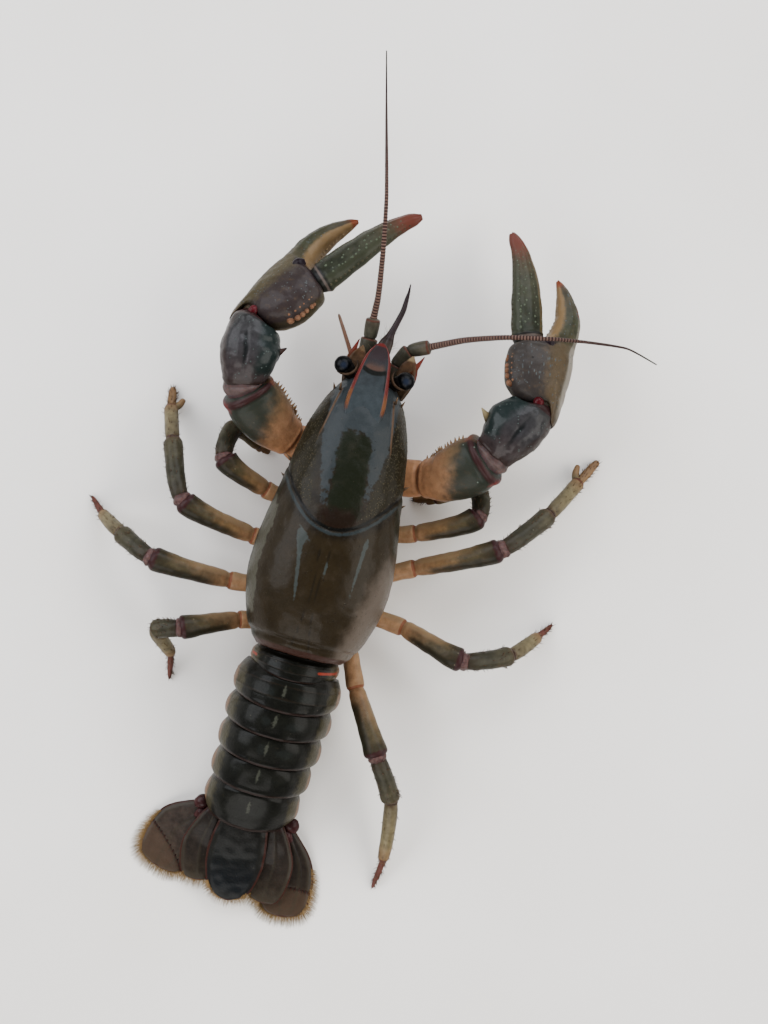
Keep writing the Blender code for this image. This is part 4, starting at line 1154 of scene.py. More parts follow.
@dataclass
class Abdomen:
    """Six shell rings that overlap towards the tail, with rounded lobes and swimmerets."""

    rows: int = 34
    arch_columns: int = 76
    bow: float = 0.95
    overlap: float = 0.45
    drift: float = 0.045
    middle: float = -0.2
    rings: tuple[Ring, ...] = (
        Ring(-22.3, -24.5, 6.4, 16.2, 16.3, 6.2, 5.6),
        Ring(-24.8, -29.1, 7.7, 16.2, 15.9, 5.6, 2.4),
        Ring(-29.4, -33.0, 7.7, 15.6, 15.0, 5.2, 2.1),
        Ring(-33.3, -37.2, 7.5, 14.7, 13.8, 4.8, 1.9),
        Ring(-37.5, -41.5, 7.2, 13.5, 12.2, 4.2, 1.6),
        Ring(-41.8, -47.2, 6.9, 11.9, 8.2, 3.2, 1.2),
    )
    plan: Table = (
        (0.0, 0.86, 0.3), (0.12, 0.91, 0.55), (0.35, 0.98, 0.9), (0.6, 1.0, 1.0), (0.85, 0.97, 0.85),
        (1.0, 0.9, 0.45),
    )
    last_plan: Table = (
        (0.0, 0.86, 0.3), (0.1, 0.92, 0.5), (0.3, 0.98, 0.85), (0.55, 1.0, 1.0), (0.8, 0.9, 0.7),
        (1.0, 0.77, 0.4),
    )

    def tail_middle(self, forward: float) -> float:
        """The body's middle drifts a little to the animal's left towards the tail."""
        return self.middle + self.drift * min(forward - CARAPACE_REAR, 0)

    def shape(self, ring: Ring, plan: Table) -> Skin:
        """The surface of one ring.

        Args:
            ring: Its sizes.
            plan: Shares of its half width and of its lobes' hang, from front to rear.

        Returns:
            The surface, its middle bowed back at the rear edge.
        """
        shares = np.linspace(0, 1, self.rows)
        spreads = read_table(plan, shares)
        angle = np.pi * np.arange(self.arch_columns + 1) / self.arch_columns
        rings = []
        for share, (spread, hang) in zip(shares, spreads):
            forward = ring.front + (ring.rear - self.overlap - ring.front) * share
            half_width = ring.half_width * spread
            neck = 0.45 * float(smooth_step(np.array(share), 0.24, 0.1))
            collar = 0.1 * float(bell(np.array(share), 0.93, 0.05))
            top = ring.top_front + (ring.top_rear - ring.top_front) * share - neck + collar
            top += 0.14 * math.sin(math.pi * share)
            tip = ring.belly - 0.4 + (ring.lobe_tip - ring.belly + 0.4) * hang
            x = signed_power(np.cos(angle), 2 / 2.3) * half_width
            z = ring.belly + np.sin(angle) ** (2 / 2.3) * (top - ring.belly)
            lobe, inside = half_width * 0.95, half_width * 0.74
            turn = tip + 0.3 * (ring.belly - tip)
            side = [(-lobe * 1.02, (ring.belly + turn) / 2), (-lobe, turn), (-lobe + 0.25, tip + 0.12)]
            side += [(-lobe + 0.6, tip), (-lobe + 0.95, tip + 0.2), (-inside, ring.belly)]
            under = side + [(-inside / 2, ring.belly - 0.15), (0.0, ring.belly - 0.2)]
            under += [(inside / 2, ring.belly - 0.15)] + [(-a, b) for a, b in reversed(side)]
            x = np.concatenate([x, [place[0] for place in under]])
            z = np.concatenate([z, [place[1] for place in under]])
            back = self.bow * (1 - np.clip(np.abs(x) / half_width, 0, 1) ** 2) * share
            back = back * (z > ring.belly + 1)
            rings.append(np.stack([x + self.tail_middle(forward), forward - back, z], 1))
        return Skin(np.array(rings))

    def build(self) -> None:
        """Model each ring with its swimmerets."""
        for number, ring in enumerate(self.rings, start=1):
            plan = self.last_plan if number == len(self.rings) else self.plan
            skin = self.shape(ring, plan)
            across = np.abs(skin.x - self.tail_middle(ring.front)) / ring.half_width
            upper = smooth_step(skin.z, ring.belly, ring.belly + 1.5)
            skin.masks["rim"] = smooth_step(skin.along, 0.86, 0.93) * upper
            skin.masks["lobe"] = smooth_step(across, 0.66, 0.9) * smooth_step(skin.along, 0.02, 0.12)
            skin.masks["brim"] = smooth_step(across, 0.9, 0.97) * upper
            skin.masks["neck"] = smooth_step(skin.along, 0.26, 0.16) * upper
            skin.masks["fleck"] = bell(across, 0, 0.035) * bell(skin.along, 0.5, 0.2) * (number > 1)
            # Painted highlights: soft bluish sheens across the top of each ring, weaker on the last two.
            shine = bell(skin.x, -3.4 + 0.5 * number, 1.0) + bell(skin.x, 3.4 - 0.4 * number, 1.4)
            strength = 0.8 if number < 5 else 0.35
            skin.masks["shine"] = shine * bell(skin.along, 0.55, 0.16) * upper * strength
            far = skin.x > 0
            streak = smooth_step(across, np.where(far, 0.52, 0.8), np.where(far, 0.58, 0.86))
            streak = streak * smooth_step(across, 0.98, 0.94)
            skin.masks["red"] = streak * bell(skin.along, 0.5, 0.06) * (number == 1)
            folds = bell(skin.along, 0.36, 0.02) + bell(skin.along, 0.64, 0.02)
            skin.masks["fold"] = folds * upper * (number < 3)
            skin.masks["under"] = smooth_step(skin.z, ring.belly + 0.4, ring.belly - 0.1) * (across < 0.8)
            skin.push(0.07 * folds * upper * (number < 3))
            skin.roughen(0.07, 1.8, number)
            # Wet chitin, nearly black, that ends in a thin tan hem at each ring's sides.
            finish = Shell(
                f"wet_abdomen_shell_{number}",
                even("#151510", "#191A14", "#141410"),
                (
                    Layer("lobe", "#565038", 0.8, 0.7, 0.8, 0.35),
                    # Painted highlight on the ring's top.
                    Layer("shine", "#2C312E", 0.5, 0.5, 0.9, 0.25),
                    Layer("neck", "#1B1913", 0.7, 0.2, 0.8, 0.3),
                    Layer("fold", "#33291F", 0.5, 0.6, 0.8, 0.3),
                    Layer("brim", "#966A44", 0.9, 0.4, 0.8, 0.35),
                    Layer("rim", "#33201A", 0.8, 0.35, 0.8, 0.3),
                    Layer("fleck", "#5C5E52", 0.7, 0.6, 0.4, 0.2),
                    Layer("red", "#BC432C", 1.0, 0.3, 0.7, 0.2),
                    Layer("under", "#A88862", 0.9, 0.2, 1.0, 0.3),
                ),
                (Dots("#6A6452", 1.5, 0.12, 0.35, "", 0.03, 0.5),),
                mottle=0.4, mottle_size=1.3, roughness=0.4, wetness=0.13,
            )
            piece = skin.build(f"abdomen_ring_{number}")
            dress(piece, finish, "abdomen", f"abdomen_{number}")
            if 1 < number < 6:
                self.add_swimmerets(number, ring)

    def add_swimmerets(self, number: int, ring: Ring) -> None:
        """The two-branched swimmerets under one ring.

        Args:
            number: The ring's number, 1 at the front.
            ring: The ring.
        """
        # Thin pale chitin that lets a little light through.
        finish = Shell(f"swimmeret_shell_{number}", even("#A07E5C", "#6E4E38"), mottle=0.2, softness=0.1)
        material = finish.build()
        forward = (ring.front + ring.rear) / 2 - 0.6
        middle = self.tail_middle(forward)
        for side in Side:
            s = side.value
            for branch, reach in enumerate((0.0, 0.9)):
                root = (middle + s * 3.2, forward, ring.belly + 0.6)
                bend = (middle + s * (2.8 - reach * 0.3), forward + 0.4, ring.belly - 1.4)
                tip = (middle + s * (1.8 - reach), forward + 2.6 + reach * 0.4, ring.belly - 2.6)
                profile = ((0, 0.4, 0.4), (1, 0.45, 0.36), (1.5, 0.6, 0.2))
                profile += ((1.9, 0.3, 0.14), (2, 0.12, 0.1))
                skin = Line((root, bend, tip), profile).skin(0, 2, 18, 10)
                piece = skin.build(f"swimmeret_{side.label}_{number}_{branch + 1}")
                dress(piece, material, "abdomen")


@dataclass
class FanBlade:
    """One plate of the tail fan: its line from root to tip, and its half widths and half heights."""

    name: str
    node: str
    line: Places
    widths: tuple[float, ...]
    heights: tuple[float, ...]
    ridges: tuple[float, ...] = (0.0,)
    suture: float = 0.0
    skew: float = 0.0
    crowding: float = 1.6

    def seam(self, across: np.ndarray) -> np.ndarray:
        """Where the cross seam lies along the plate, at a place across it."""
        return self.suture + 0.03 * across**2 + self.skew * across

    def profile(self) -> Table:
        """The sizes as rows of joint number, half width and half height.

        Returns:
            One row for each joint.
        """
        rows = len(self.widths)
        shares = [1 - (1 - row / (rows - 1)) ** self.crowding for row in range(rows)]
        end = len(self.line) - 1
        return [(end * share, wide, high) for share, wide, high in zip(shares, self.widths, self.heights)]

    def skin(self) -> Skin:
        """The plate's surface, with its ridges, its sutures and a thin brim.

        Returns:
            The surface.
        """
        end = len(self.line) - 1
        line = Line(self.line, self.profile(), first=(0, -1, 0), squareness=2.0)
        skin = line.skin(0, end, 90, 72, self.crowding)
        across, over = skin.masks["across"], skin.masks["over"]
        station = skin.masks["station"] / end
        top = smooth_step(over, 0.0, 0.3)
        lift = np.zeros_like(across)
        for place in self.ridges:
            lift += 0.13 * bell(across, place, 0.05) * smooth_step(station, 0.95, 0.8)
        lift -= 0.1 * smooth_step(np.abs(across), 0.8, 0.95)
        if self.suture:
            lift -= (0.0 if self.node == "telson" else 0.08) * bell(station, self.seam(across), 0.008)
        skin.push(lift * top)
        skin.roughen(0.08 if self.node == "telson" else 0.04, 1.4, float(len(self.name)))
        skin.settle()
        side = np.abs(across)
        skin.masks["rim"] = np.maximum(smooth_step(side, 0.9, 0.975), smooth_step(station, 0.972, 0.99))
        skin.masks["brim"] = np.maximum(smooth_step(side, 0.62, 0.9), smooth_step(station, 0.8, 0.95))
        seam = bell(station, self.seam(across), 0.012) * bool(self.suture)
        skin.masks["seam"] = seam * (0.2 if self.node == "telson" else 0.7)
        soft = 0.2 if self.node == "telson" else 0.07
        skin.masks["hind"] = smooth_step(station - self.seam(across), -soft, soft) * bool(self.suture)
        skin.masks["crest"] = sum(bell(across, place, 0.07) for place in self.ridges) * top
        skin.masks["root"] = smooth_step(station, 0.16, 0.05)
        return skin


@dataclass
class TailFan:
    """Telson and two pairs of uropods, laid out on the floor, with a hair fringe on their rear edges."""

    start: float = -47.2
    telson_widths: tuple[float, ...] = (3.1, 3.8, 4.15, 4.2, 4.0, 3.5, 2.7, 1.6, 0.6)
    telson_heights: tuple[float, ...] = (1.0, 0.92, 0.84, 0.76, 0.7, 0.62, 0.52, 0.42, 0.3)
    inner_widths: tuple[float, ...] = (1.05, 1.9, 2.5, 2.8, 2.85, 2.75, 2.4, 1.8, 0.7)
    outer_widths: tuple[float, ...] = (1.4, 2.6, 3.6, 4.1, 4.25, 4.1, 3.6, 2.6, 1.0)
    right_outer_share: float = 0.92
    heights: tuple[float, ...] = (0.65, 0.6, 0.5, 0.45, 0.42, 0.4, 0.36, 0.32, 0.28)
    hairs_per_mm: float = 28.0
    hair_length: float = 1.7

    def blades(self) -> list[FanBlade]:
        """The five plates, the lowest first.

        Returns:
            The plates.
        """
        start = self.start
        narrow = tuple(width * self.right_outer_share for width in self.outer_widths)
        outer_left = ((-6.6, start, 1.7), (-10.2, -52.0, 0.7), (-12.0, -58.0, 0.25))
        outer_right = ((3.9, start, 1.7), (6.3, -53.4, 0.65), (7.2, -60.4, 0.25))
        inner_left = ((-5.8, start, 3.3), (-6.6, -53.0, 2.05), (-5.9, -58.2, 1.4))
        inner_right = ((3.1, start, 3.3), (4.3, -53.0, 2.05), (3.9, -59.0, 1.4))
        middle = ((-1.35, start, 4.5), (-1.3, -53.5, 3.3), (-1.1, -59.7, 2.45))
        made = []
        for side, line, widths in (("left", outer_left, self.outer_widths), ("right", outer_right, narrow)):
            name, node = f"outer_uropod_{side}", f"uropod_{side}_outer"
            suture, skew = (0.72, -0.16) if side == "left" else (0.7, 0.0)
            made.append(FanBlade(name, node, line, widths, self.heights, (0.1, -0.45), suture, skew))
        for side, line in (("left", inner_left), ("right", inner_right)):
            name, node = f"inner_uropod_{side}", f"uropod_{side}_inner"
            made.append(FanBlade(name, node, line, self.inner_widths, self.heights))
        widths, heights = self.telson_widths, self.telson_heights
        made.append(FanBlade("tail_plate", "telson", middle, widths, heights, (), 0.56))
        return made

    def finish(self, blade: FanBlade) -> Shell:
        """The plate's colours: thin and see-through at the brim, so paler there, with a maroon rim.

        Args:
            blade: The plate.

        Returns:
            The finish.
        """
        if blade.node == "telson":
            stops = ((0.0, "#1E1C18"), (0.35, "#1B1D1C"), (0.65, "#161B20"), (1.0, "#262420"))
        else:
            stops = ((0.0, "#2A231E"), (0.4, "#352D27"), (0.7, "#3E352B"), (1.0, "#564632"))
            if blade.node == "uropod_left_outer":
                stops = ((0.0, "#3C332D"), (0.35, "#4E433C"), (0.65, "#564A40"), (1.0, "#76593C"))
        # Thin wet chitin: light comes through near its brim, so it looks browner and paler there.
        return Shell(
            f"wet_fan_shell_{blade.name}",
            stops,
            (
                Layer("brim", "#4A4236" if blade.node != "telson" else "#2C2B26", 0.7, 0.35, 1.5, 0.35),
                Layer("hind", "#665040" if blade.node != "telson" else "#171A1D", 0.55, 0.4, 1.0, 0.5),
                Layer("crest", "#4C4638", 0.35, 0.4, 1.0, 0.35),
                Layer("seam", "#241A17", 0.75, 0.35, 0.6, 0.3),
                Layer("root", "#3A2522", 0.8, 0.3, 1.0, 0.3),
                Layer("rim", "#4E2A22", 0.85, 0.35, 0.8, 0.35),
            ),
            (Dots("#625E4C", 1.1, 0.1, 0.3, "", 0.03, 0.4),),
            mottle=0.38, mottle_size=1.2, roughness=0.42, wetness=0.13, softness=0.05,
        )

    def build(self) -> None:
        """Model the plates, the knobs at their roots, the teeth on the cross seams and the fringe."""
        fringe = Scatter(Template.HAIR)
        teeth = Scatter(Template.SPINE)
        draw = random.Random(21)
        skins = {blade.name: blade.skin() for blade in self.blades()}
        edges = {name: self.edge(skin) for name, skin in skins.items()}
        for blade in self.blades():
            skin = skins[blade.name]
            piece = skin.build(blade.name)
            dress(piece, self.finish(blade), "tail_fan", blade.node)
            others = [edge for name, edge in edges.items() if name != blade.name]
            self.add_fringe(skin, fringe, draw, others)
            if blade.suture and blade.node != "telson":
                self.add_teeth(skin, teeth, blade)
        colours = ((0.0, "#B08A58"), (0.4, "#D2B080"), (1.0, "#EEE2CA"))
        # Stiff chitin hair, dry: golden at its root and pale at its tip.
        hair = Shell("fan_hair", colours, mottle=0.3, wetness=0.0)
        dress(fringe.build("fan_fringe", baked=True), hair, "tail_fan")
        # Small chitin teeth: red-brown and duller than the plates.
        dark = Shell("seam_tooth_shell", even("#3A2019", "#5E3024"))
        dress(teeth.build("fan_seam_teeth"), dark, "tail_fan")
        self.add_knobs()

    def edge(self, skin: Skin) -> np.ndarray:
        """The outline of one plate in plan."""
        half = skin.rings.shape[1] // 2
        return np.concatenate([skin.rings[:, 0, :2], skin.rings[::-1, half, :2]])

    def covered(self, place: np.ndarray, outline_points: np.ndarray) -> bool:
        """Whether a point lies within a plate in plan.

        Args:
            place: The point.
            outline_points: The plate's edge in plan.

        Returns:
            True where it does.
        """
        x, y = outline_points[:, 0], outline_points[:, 1]
        next_x, next_y = np.roll(x, -1), np.roll(y, -1)
        crosses = (y > place[1]) != (next_y > place[1])
        rise = np.where(next_y == y, 1e-9, next_y - y)
        meets = x + (place[1] - y) / rise * (next_x - x)
        return bool(np.sum(crosses & (place[0] < meets)) % 2)

    def add_fringe(
        self, skin: Skin, fringe: Scatter, draw: random.Random, others: list[np.ndarray]
    ) -> None:
        """Set hairs along the rear edges of one plate, where no other plate lies over or under them.

        Args:
            skin: The plate.
            fringe: What the hairs are added to.
            draw: The seeded draw.
            others: The outlines of the other plates.
        """
        columns = skin.rings.shape[1]
        left, right = int(columns / 2), 0
        rows = skin.rings.shape[0]
        first = int(rows * 0.36)
        rim = [skin.rings[row, right] for row in range(first, rows)]
        rim += [skin.rings[row, left] for row in range(rows - 2, first, -1)]
        rim = np.array(rim)
        steps = np.linalg.norm(np.diff(rim, axis=0), axis=1)
        reach = np.concatenate([[0], np.cumsum(steps)])
        total = reach[-1]
        count = int(total * self.hairs_per_mm)
        centre = rim.mean(axis=0)
        for number in range(count):
            at = (number + draw.random()) / count * total
            index = min(int(np.searchsorted(reach, at)) - 1, len(steps) - 1)
            index = max(index, 0)
            within = (at - reach[index]) / max(steps[index], 1e-6)
            place = rim[index] + (rim[index + 1] - rim[index]) * within
            way = Vector(rim[min(index + 2, len(rim) - 1)] - rim[max(index - 1, 0)])
            out = Vector((way.y, -way.x, 0)).normalized()
            if out.dot(Vector(place - centre)) < 0:
                out = -out
            beyond = place[:2] + np.array(out)[:2] * 0.45
            if any(self.covered(beyond, other) for other in others):
                continue
            share = at / total
            fade = math.sin(math.pi * min(max(share, 0.02), 0.98)) ** 0.35
            stray = Vector((draw.uniform(-0.22, 0.22), draw.uniform(-0.15, 0.15), 0))
            lie = out + Vector((0, -0.45, 0)) + stray
            length = self.hair_length * fade * draw.uniform(0.72, 1.12)
            drop = min(0.0, -0.5 * (place[2] - 0.15) / length)
            lie = (lie.normalized() + Vector((0, 0, drop))).normalized()
            patch = (0.1 + 0.8 * share, 0.1 + 0.8 * ((skin.along.shape[0] * 7) % 10) / 10)
            root = Vector(place) - lie * 0.25 + Vector((0, 0, draw.uniform(-0.05, 0.08)))
            root.z = max(root.z, 0.1)
            fringe.add(Seat(root, lie, 0.036, length + 0.25, 0.026, Vector((0, 0, -1)), 0.03, patch))

    def add_teeth(self, skin: Skin, teeth: Scatter, blade: FanBlade) -> None:
        """Small teeth along the cross seam of one plate.

        Args:
            skin: The plate's surface.
            teeth: The scatter that they join.
            blade: The plate.
        """
        end = skin.masks["station"].max()
        for number in range(15):
            column = 0.06 + 0.38 * number / 14
            row = skin.row_of(end * blade.seam(math.cos(2 * math.pi * column)))
            place, out, onward = skin.sample(row, column)
            teeth.add(Seat(place, (onward + out * 0.35).normalized(), 0.13, 0.42))

    def add_knobs(self) -> None:
        """The maroon joints where the side plates grow from the last ring."""
        # Smooth chitin over a joint: maroon with a small bright spot.
        finish = Shell("fan_joint_shell", even("#3A2222", "#543030"), mottle=0.3, roughness=0.25)
        material = finish.build()
        for side, x in ((Side.LEFT, -8.05), (Side.RIGHT, 5.35)):
            s = side.value
            for number, (dx, dy, z, radius) in enumerate(((0, 0.0, 2.7, 1.05), (-0.35, -1.7, 2.5, 0.8))):
                line = ((x + s * dx - s * 0.9, -46.6 + dy, z), (x + s * dx, -47.0 + dy, z - 0.2))
                line += ((x + s * (dx + 0.75), -47.6 + dy, z - 0.6),)
                profile = ((0, radius * 0.6, radius * 0.6), (0.7, radius, radius * 0.9))
                profile += ((1.3, radius * 0.95, radius * 0.85), (2, radius * 0.5, radius * 0.5))
                skin = Line(line, profile).skin(0, 2, 20, 20)
                skin.roughen(0.12, 0.9, number)
                dress(skin.build(f"fan_joint_{side.label}_{number + 1}"), material, "tail_fan")


@dataclass
class Head:
    """Eyes, their sockets, antennules, antennal scales, antennae and outer mouthparts."""

    eye_radius: float = 1.3
    eye_centre: tuple[float, float, float] = (4.45, 18.2, 15.0)
    eye_root: tuple[float, float, float] = (1.9, 16.6, 13.9)
    band_length: float = 0.43

    def build(self) -> None:
        """Build every piece of the head."""
        for side in Side:
            self.build_eye(side)
            self.build_socket(side)
            self.build_antennule(side)
            self.build_scale(side)
            self.build_antenna(side)
            self.build_mouthpart(side)
        self.build_face()

    def build_eye(self, side: Side) -> None:
        """The round black eye on its short dark stalk.

        Args:
            side: The side that it is on.
        """
        s = side.value
        centre = Vector((s * self.eye_centre[0], self.eye_centre[1], self.eye_centre[2]))
        root = Vector((s * self.eye_root[0], self.eye_root[1], self.eye_root[2]))
        bpy.ops.object.select_all(action="DESELECT")
        place = (np.array(centre) + BODY_OFFSET) * MM
        radius = self.eye_radius * MM
        bpy.ops.mesh.primitive_uv_sphere_add(segments=56, ring_count=36, radius=radius, location=place)
        eye = bpy.context.object
        eye.name = eye.data.name = f"eyeball_{side.label}"
        along = (centre - root).normalized()
        bpy.ops.object.mode_set(mode="EDIT")
        bpy.ops.mesh.select_all(action="SELECT")
        bpy.ops.transform.resize(value=(1.0, 0.97, 0.95), center_override=tuple(place))
        bpy.ops.object.mode_set(mode="OBJECT")
        bpy.ops.object.transform_apply(location=True)
        bpy.ops.object.shade_smooth()
        points = np.array([vertex.co for vertex in eye.data.vertices]) - place
        # Painted highlight: a soft bluish patch near the top of the eye.
        lit = bell(np.linalg.norm(points / (self.eye_radius * MM) - (0.1, -0.1, 0.96), axis=1), 0, 0.42)
        glow = eye.data.attributes.new("glow", "FLOAT", "POINT")
        glow.data.foreach_set("value", lit.astype(np.float32))
        # Clear lenses over black pigment: deep black, with one soft bluish highlight painted on top.
        cornea = Shell(
            f"wet_eye_cornea_{side.label}",
            even("#06080C", "#06080C"),
            (Layer("glow", "#343D52", 0.8, 0.15, 0.5, 0.45),),
            mottle=0.1, roughness=0.36, wetness=0.08, film=0.22, relief=0.004, relief_size=0.1,
        )
        dress(eye, cornea, "eye", f"eye_{side.label}")
        line = (tuple(root - along * 0.5), tuple((root + centre) / 2), tuple(centre - along * 0.2))
        profile = ((0, 0.8, 0.8), (1, 0.95, 0.9), (1.6, 1.12, 1.1), (2, 1.0, 1.0))
        stalk = Line(line, profile).skin(0, 2, 20, 28)
        colours = ((0.0, "#40332A"), (0.55, "#221D19"), (1.0, "#0D0D10"))
        # Smooth dark chitin, which sets the eye deeper.
        finish = Shell(f"eye_stalk_shell_{side.label}", colours)
        dress(stalk.build(f"eyestalk_{side.label}"), finish, "eye")

    def build_socket(self, side: Side) -> None:
        """The pale tan rim that curves behind the eye.

        Args:
            side: The side that it is on.
        """
        s = side.value
        cx, cy, cz = self.eye_centre
        places = []
        for step in range(9):
            angle = math.radians(150 + 150 * step / 8)
            radius = self.eye_radius + 0.42
            x = cx - 0.25 + math.cos(angle) * radius
            y = cy + math.sin(angle) * radius * 0.9 + 0.25
            z = cz + 0.9 - 1.6 * max(0.0, (x - cx + 0.6) / 2.2)
            places.append((s * x, y, z))
        profile = ((0, 0.08, 0.08), (2, 0.17, 0.17), (4, 0.2, 0.19), (6, 0.16, 0.16), (8, 0.08, 0.08))
        skin = Line(tuple(places), profile).skin(0, 8, 60, 14)
        # A worn edge of chitin: tan against the dark head.
        finish = Shell(
            f"socket_rim_shell_{side.label}",
            ((0.0, "#3A2C22"), (0.3, "#5E4836"), (0.7, "#584230"), (1.0, "#30281E")),
            mottle=0.25, roughness=0.42,
        )
        dress(skin.build(f"socket_rim_{side.label}"), finish, "carapace")

    def build_antennule(self, side: Side) -> None:
        """The small inner feeler: a broad base that tapers to a fine tip.

        Args:
            side: The side that it is on.
        """
        lines = {
            Side.LEFT: (
                (-0.9, 16.0, 12.6), (-0.6, 20.5, 12.7), (0.55, 24.0, 12.4), (1.4, 27.6, 12.2),
                (1.5, 30.4, 11.9),
            ),
            Side.RIGHT: (
                (1.0, 16.0, 13.4), (0.7, 20.5, 14.0), (0.9, 24.0, 14.2), (1.7, 27.8, 14.0),
                (1.6, 31.5, 13.4),
            ),
        }
        profile = ((0, 0.6, 0.8), (1, 0.62, 0.72), (1.6, 0.66, 0.62), (2, 0.42, 0.4), (3, 0.27, 0.26))
        profile += ((3.6, 0.2, 0.2), (4, 0.07, 0.07))
        skin = Line(lines[side], profile).skin(0, 4, 110, 20)
        station = skin.masks["station"]
        ringed = smooth_step(station, 1.7, 2.0) * smooth_step(station, 4.0, 3.6)
        skin.push(0.03 * np.sin(station * 60) * ringed)
        skin.masks["rim"] = bell(station, 1.3, 0.05) + bell(station, 1.75, 0.05)
        # Ringed chitin: brown and rather dull.
        finish = Shell(
            f"antennule_shell_{side.label}",
            ((0.0, "#463A32"), (0.35, "#4E443C"), (0.5, "#403234"), (0.75, "#332426"), (1.0, "#2A1A1E")),
            (Layer("rim", "#2E211C", 0.8, 0.2, 0.4, 0.3),),
            mottle=0.25, roughness=0.46, wetness=0.16,
        )
        dress(skin.build(f"inner_feeler_{side.label}"), finish, "feeler", f"antennule_{side.label}")
        hairs = Scatter(Template.HAIR)
        draw = random.Random(31 + side.value)
        for _ in range(26):
            place, out, onward = skin.sample(draw.uniform(0.3, 0.52), draw.random())
            if abs(out.z) > 0.8:
                continue
            way = (out + onward * draw.uniform(0.4, 1.2)).normalized()
            hairs.add(Seat(place, way, 0.025, draw.uniform(0.7, 1.5), patch=(draw.random(), draw.random())))
        # Fine chitin hair, dry: a pale haze.
        finish = Shell(f"feeler_hair_{side.label}", even("#8A7358", "#B9A98C"), wetness=0.0)
        dress(hairs.build(f"inner_feeler_hairs_{side.label}", baked=True), finish, "feeler")

    def build_scale(self, side: Side) -> None:
        """The leaf-like plate beside the feeler's root, its outer edge ending in a red spine.

        Args:
            side: The side that it is on.
        """
        lines = {
            Side.LEFT: ((-3.3, 15.6, 12.9), (-3.1, 18.4, 13.0), (-2.5, 21.5, 13.1)),
            Side.RIGHT: ((3.9, 15.6, 12.9), (4.3, 18.4, 13.0), (4.6, 21.9, 13.2)),
        }
        s = side.value
        profile = ((0, 0.8, 0.34), (0.7, 1.3, 0.34), (1.2, 1.45, 0.32))
        profile += ((1.55, 1.2, 0.28), (1.8, 0.55, 0.22), (2, 0.12, 0.12))
        skin = Line(lines[side], profile).skin(0, 2, 70, 40, 1.4)
        across, over, station = (skin.masks[key] for key in ("across", "over", "station"))
        outer = across * s
        skin.push(0.16 * bell(outer, 0.62, 0.16) * smooth_step(over, 0, 0.4))
        skin.masks["rim"] = smooth_step(outer, 0.7, 0.9) * smooth_step(station, 0.5, 1.5)
        skin.masks["tip"] = smooth_step(station, 1.62, 1.9)
        # Thin brown chitin with a reddened edge.
        finish = Shell(
            f"scale_shell_{side.label}",
            ((0.0, "#4E3E2E"), (0.5, "#5C4634"), (0.8, "#6E5038"), (1.0, "#86563A")),
            (
                Layer("tip", "#BCA27A", 0.85 if side is Side.RIGHT else 0.3, 0.3, 0.6, 0.3),
                Layer("rim", "#80362A", 0.85, 0.4, 0.7, 0.35),
            ),
            mottle=0.35, mottle_size=0.8, roughness=0.42,
        )
        dress(skin.build(f"feeler_plate_{side.label}"), finish, "feeler_base", f"antennal_scale_{side.label}")
        spines = Scatter(Template.SPINE)
        place, _, _ = skin.sample(0.7, 0.02 if s > 0 else 0.48)
        way = Vector((0.42, 1.0, 0.05)) if side is Side.RIGHT else Vector((0.22, 1.0, 0.05))
        spines.add(Seat(place - way.normalized() * 0.5, way, 0.6, 2.2, 0.34, Vector((0, 0, 1))))
        # Solid chitin: smooth and brick red.
        red = Shell(f"scale_spine_shell_{side.label}", even("#7A4A34", "#8C3628", "#7A2A24"), mottle=0.1)
        dress(spines.build(f"feeler_plate_spine_{side.label}"), red, "feeler_base")

    def build_antenna(self, side: Side) -> None:
        """The long outer feeler: three barrels, then a whip of many short rings.

        Args:
            side: The side that it is on.
        """
        barrels = {
            Side.LEFT: ((-2.5, 16.0, 10.9), (-2.1, 20.4, 11.0), (-2.0, 23.0, 11.4), (-2.2, 25.7, 12.2)),
            Side.RIGHT: ((2.5, 16.0, 10.9), (2.6, 20.2, 11.0), (3.9, 22.6, 11.4), (6.5, 23.9, 12.2)),
        }
        whips = {
            Side.LEFT: (
                (-2.2, 25.7, 12.2), (-2.3, 28.5, 13.8), (-3.3, 35.1, 17.2), (-4.65, 41.6, 18.0),
                (-6.5, 48.5, 15.6), (-8.2, 54.7, 11.6), (-10.55, 63.4, 6.0),
            ),
            Side.RIGHT: (
                (6.5, 23.9, 12.2), (10.9, 25.8, 15.6), (16.0, 27.3, 18.9), (22.3, 28.7, 20.0),
                (27.2, 29.7, 18.2), (33.0, 30.8, 12.8), (38.2, 30.4, 6.0),
            ),
        }
        profile = ((0, 1.2, 1.1), (0.7, 1.25, 1.15), (0.97, 1.15, 1.05), (1.0, 0.85, 0.85), (1.08, 1.0, 0.95))
        profile += ((1.5, 1.12, 1.05), (1.9, 1.18, 1.1), (2.0, 0.8, 0.8), (2.1, 0.92, 0.9), (2.5, 1.04, 1.0))
        profile += ((2.86, 1.02, 1.0), (2.93, 0.9, 0.88), (3, 0.55, 0.55))
        skin = Line(barrels[side], profile, squareness=2.0).skin(0, 3, 120, 40)
        station = skin.masks["station"]
        skin.masks["rim"] = bell(station, 2.88, 0.06) + bell(station, 1.92, 0.06) + bell(station, 0.93, 0.05)
        skin.masks["seam"] = bell(station, 2.0, 0.025) + bell(station, 1.0, 0.025)
